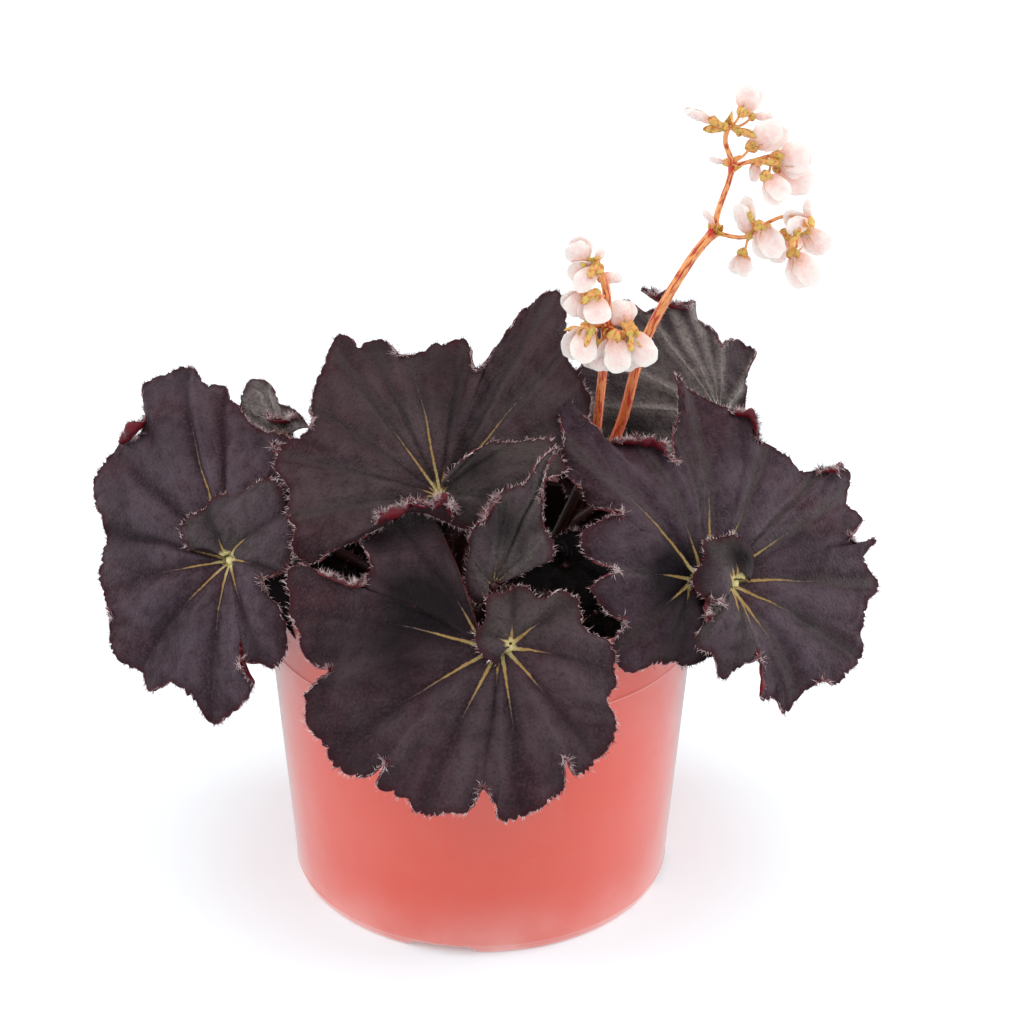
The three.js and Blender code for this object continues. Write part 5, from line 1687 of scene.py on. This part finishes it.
def petal_finish():
    """White-pink petals with pinker hearts and fine veins."""
    spray = settings("sprays")
    finish = Finish("Petal", 0.5, Subsurface_Weight=0.35, Subsurface_Scale=0.002,
                    Subsurface_Radius=(1, 0.5, 0.45))
    heart = finish.spread(finish.attribute("rim"), 0.35, 0.95, 1, 0)
    mottled = finish.times(heart, finish.mottle(1.3, 4, 0.3, 0.62, 0.35, 1))
    finish.base = finish.mix(mottled, spray.petal, spray.petal_heart)
    deep = finish.minus(finish.attribute("along"), finish.times(finish.noise(1.5, 3), 0.35))
    finish.layer(finish.spread(deep, -0.15, 0.35, 0.9, 0), spray.petal_base)
    finish.bump(finish.plus(finish.noise(0.7, 3), finish.cells(0.5)), 0.12, 0.8)
    return finish.painted()


def pod_finish():
    """Gold-green pods and bracts."""
    spray = settings("sprays")
    finish = Finish("Seed pod", 0.5, Subsurface_Weight=0.15, Subsurface_Scale=0.001)
    finish.base = finish.mix(finish.mottle(1.6, 3, 0.42, 0.6, 0, 0.85), spray.pod, spray.stem)
    finish.layer(finish.mottle(0.9, 3, 0.52, 0.62, 0, 0.6), spray.stem_dash)
    finish.bump(finish.noise(0.6, 3), 0.08, 0.6)
    return finish.painted()


def stem_finish():
    """Orange stems with long red dashes, and red joints."""
    spray = settings("sprays")
    finish = Finish("Flower stem", 0.4, Specular_IOR_Level=0.5)
    x, y, z = (finish.times(finish.attribute(name), MM) for name in ("wrap_x", "wrap_y", "along"))
    wrap = finish.node("CombineXYZ", X=x, Y=y, Z=finish.times(z, 0.22)).outputs["Vector"]
    height = finish.node("SeparateXYZ", Vector=finish.place).outputs["Z"]
    finish.base = finish.mix(finish.spread(height, 0.13, 0.165, 1, 0), spray.stem, spray.stem_low)
    finish.layer(finish.spread(finish.noise(0.9, 2, wrap), 0.5, 0.59, 0, 0.95), spray.stem_dash)
    finish.layer(finish.spread(finish.noise(0.45, 2, wrap), 0.52, 0.62, 0, 0.7), spray.stem_dash)
    finish.layer(finish.spread(finish.attribute("joint"), 0.25, 0.85, 0, 0.85), spray.node)
    finish.layer(finish.spread(height, 0.112, 0.127, 0.97, 0), settings("leaves").stalk_fleck)
    finish.bump(finish.noise(0.8, 3), 0.08, 0.6)
    return finish.painted()


def floor_finish():
    """The pale floor, a light table that glows a little."""
    finish = Finish("Floor", 0.9, Specular_IOR_Level=0.1, Emission_Strength=FLOOR_GLOW,
                    Emission_Color=(1, 1, 1, 1))
    finish.base = settings("stage").floor
    return finish.painted()


class BEGONIA_OT_stage(bpy.types.Operator):
    """Sets up the camera, the floor and soft studio light"""

    bl_idname = "begonia.stage"
    bl_label = "Stage"

    def execute(self, context):
        stage = settings("stage")
        scene = context.scene
        scene.view_settings.view_transform = "Standard"
        lens = bpy.data.cameras.new("Camera")
        lens.lens_unit = "MILLIMETERS"
        lens.lens = stage.focal_length
        lens.sensor_width = 36
        camera = bpy.data.objects.new("Camera", lens)
        turn = (Matrix.Rotation(-stage.turn, 4, "Z") @ Matrix.Rotation(math.pi / 2 - stage.tilt, 4, "X")
                @ Matrix.Rotation(stage.roll, 4, "Z"))
        camera.matrix_world = Matrix.Translation((0, -stage.distance, stage.camera_height)) @ turn
        scene.collection.objects.link(camera)
        scene.camera = camera

        mesh = bpy.data.meshes.new("Floor")
        corners = [(x * FLOOR_REACH, y * FLOOR_REACH, 0) for x, y in ((-1, -1), (1, -1), (1, 1), (-1, 1))]
        mesh.from_pydata(corners, [], [(0, 1, 2, 3)])
        mesh.materials.append(floor_finish())
        floor = bpy.data.objects.new("Floor", mesh)
        scene.collection.objects.link(floor)

        world = bpy.data.worlds.new("Studio")
        world.use_nodes = True
        sky = world.node_tree.nodes["Background"]
        sky.inputs["Color"].default_value = (1, 1, 1, 1)
        sky.inputs["Strength"].default_value = WORLD_LIGHT * stage.brightness
        scene.world = world
        sun = bpy.data.lights.new("Overhead light", "SUN")
        sun.energy = OVERHEAD["strength"] * stage.brightness
        sun.angle = math.radians(OVERHEAD["spread"])
        overhead = bpy.data.objects.new("Overhead light", sun)
        overhead.rotation_euler = Vector(OVERHEAD["from"]).to_track_quat("Z", "Y").to_euler()
        scene.collection.objects.link(overhead)
        for name, place, target, size, power in SOFTBOXES:
            light = bpy.data.lights.new(name, "AREA")
            light.shape = "RECTANGLE"
            light.size, light.size_y = size
            light.energy = power * stage.brightness
            lamp = bpy.data.objects.new(name, light)
            lamp.location = place
            aim = Vector(target) - Vector(place)
            lamp.rotation_euler = aim.to_track_quat("-Z", "Y").to_euler()
            scene.collection.objects.link(lamp)
        return {"FINISHED"}


class BEGONIA_OT_pot(bpy.types.Operator):
    """Builds the nursery pot"""

    bl_idname = "begonia.pot"
    bl_label = "Pot"

    def execute(self, context):
        make_pot(plastic_finish())
        return {"FINISHED"}


class BEGONIA_OT_soil(bpy.types.Operator):
    """Builds the soil with its crumbs, fibres and perlite grains"""

    bl_idname = "begonia.soil"
    bl_label = "Soil"

    def execute(self, context):
        make_soil(soil_finishes())
        return {"FINISHED"}


class BEGONIA_OT_rhizome(bpy.types.Operator):
    """Builds the creeping stem that lies in the soil"""

    bl_idname = "begonia.rhizome"
    bl_label = "Rhizome"

    def execute(self, context):
        make_rhizome(rhizome_finishes())
        return {"FINISHED"}


class BEGONIA_OT_leaves(bpy.types.Operator):
    """Builds every leaf, with its stalk, veins and hairs"""

    bl_idname = "begonia.leaves"
    bl_label = "Leaves"

    def execute(self, context):
        leaf = settings("leaves")
        hair = hair_finish("Leaf hair", leaf.hair, leaf.underside)
        materials = [blade_top_finish(), blade_under_finish(), hair, stalk_finish()]
        for seed, (name, shape) in enumerate(all_leaves().items(), start=11):
            make_leaf(name, shape, seed, materials)
        return {"FINISHED"}


class BEGONIA_OT_sprays(bpy.types.Operator):
    """Builds the two flower sprays"""

    bl_idname = "begonia.sprays"
    bl_label = "Flower sprays"

    def execute(self, context):
        spray = settings("sprays")
        hair = hair_finish("Stem hair", spray.petal, spray.stem)
        materials = [petal_finish(), pod_finish(), stem_finish(), hair]
        for seed, (name, shape) in enumerate(SPRAYS.items(), start=51):
            make_spray(name, shape, seed, materials)
        return {"FINISHED"}


class BEGONIA_PT_panel(bpy.types.Panel):
    """Lists the pieces with their settings"""

    bl_idname = "BEGONIA_PT_panel"
    bl_label = "Potted Rex Begonia"
    bl_space_type = "VIEW_3D"
    bl_region_type = "UI"
    bl_category = "Begonia"

    def draw(self, context):
        for operator, group in STEPS:
            box = self.layout.box()
            box.operator(operator)
            if group:
                values = settings(group)
                for name in type(values).__annotations__:
                    box.prop(values, name)


# The operators in order, each with the group of settings that the panel shows under it
STEPS = (
    ("begonia.stage", "stage"),
    ("begonia.pot", "pot"),
    ("begonia.soil", "soil"),
    ("begonia.rhizome", None),
    ("begonia.leaves", "leaves"),
    ("begonia.sprays", "sprays"),
)
GROUPS = {
    "stage": StageSettings,
    "pot": PotSettings,
    "soil": SoilSettings,
    "leaves": LeafSettings,
    "sprays": SpraySettings,
}
CLASSES = (
    *GROUPS.values(),
    BEGONIA_OT_stage,
    BEGONIA_OT_pot,
    BEGONIA_OT_soil,
    BEGONIA_OT_rhizome,
    BEGONIA_OT_leaves,
    BEGONIA_OT_sprays,
    BEGONIA_PT_panel,
)


def register():
    """Registers the classes and gives the scene its settings."""
    for kind in CLASSES:
        bpy.utils.register_class(kind)
    for name, kind in GROUPS.items():
        setattr(bpy.types.Scene, "begonia_" + name, PointerProperty(type=kind))


def unregister():
    """Takes the settings and the classes away again."""
    for name in GROUPS:
        delattr(bpy.types.Scene, "begonia_" + name)
    for kind in reversed(CLASSES):
        bpy.utils.unregister_class(kind)


def main():
    """Builds the stage and every piece."""
    register()
    for operator, _ in STEPS:
        group, name = operator.split(".")
        getattr(getattr(bpy.ops, group), name)()


if __name__ == "__main__":
    main()
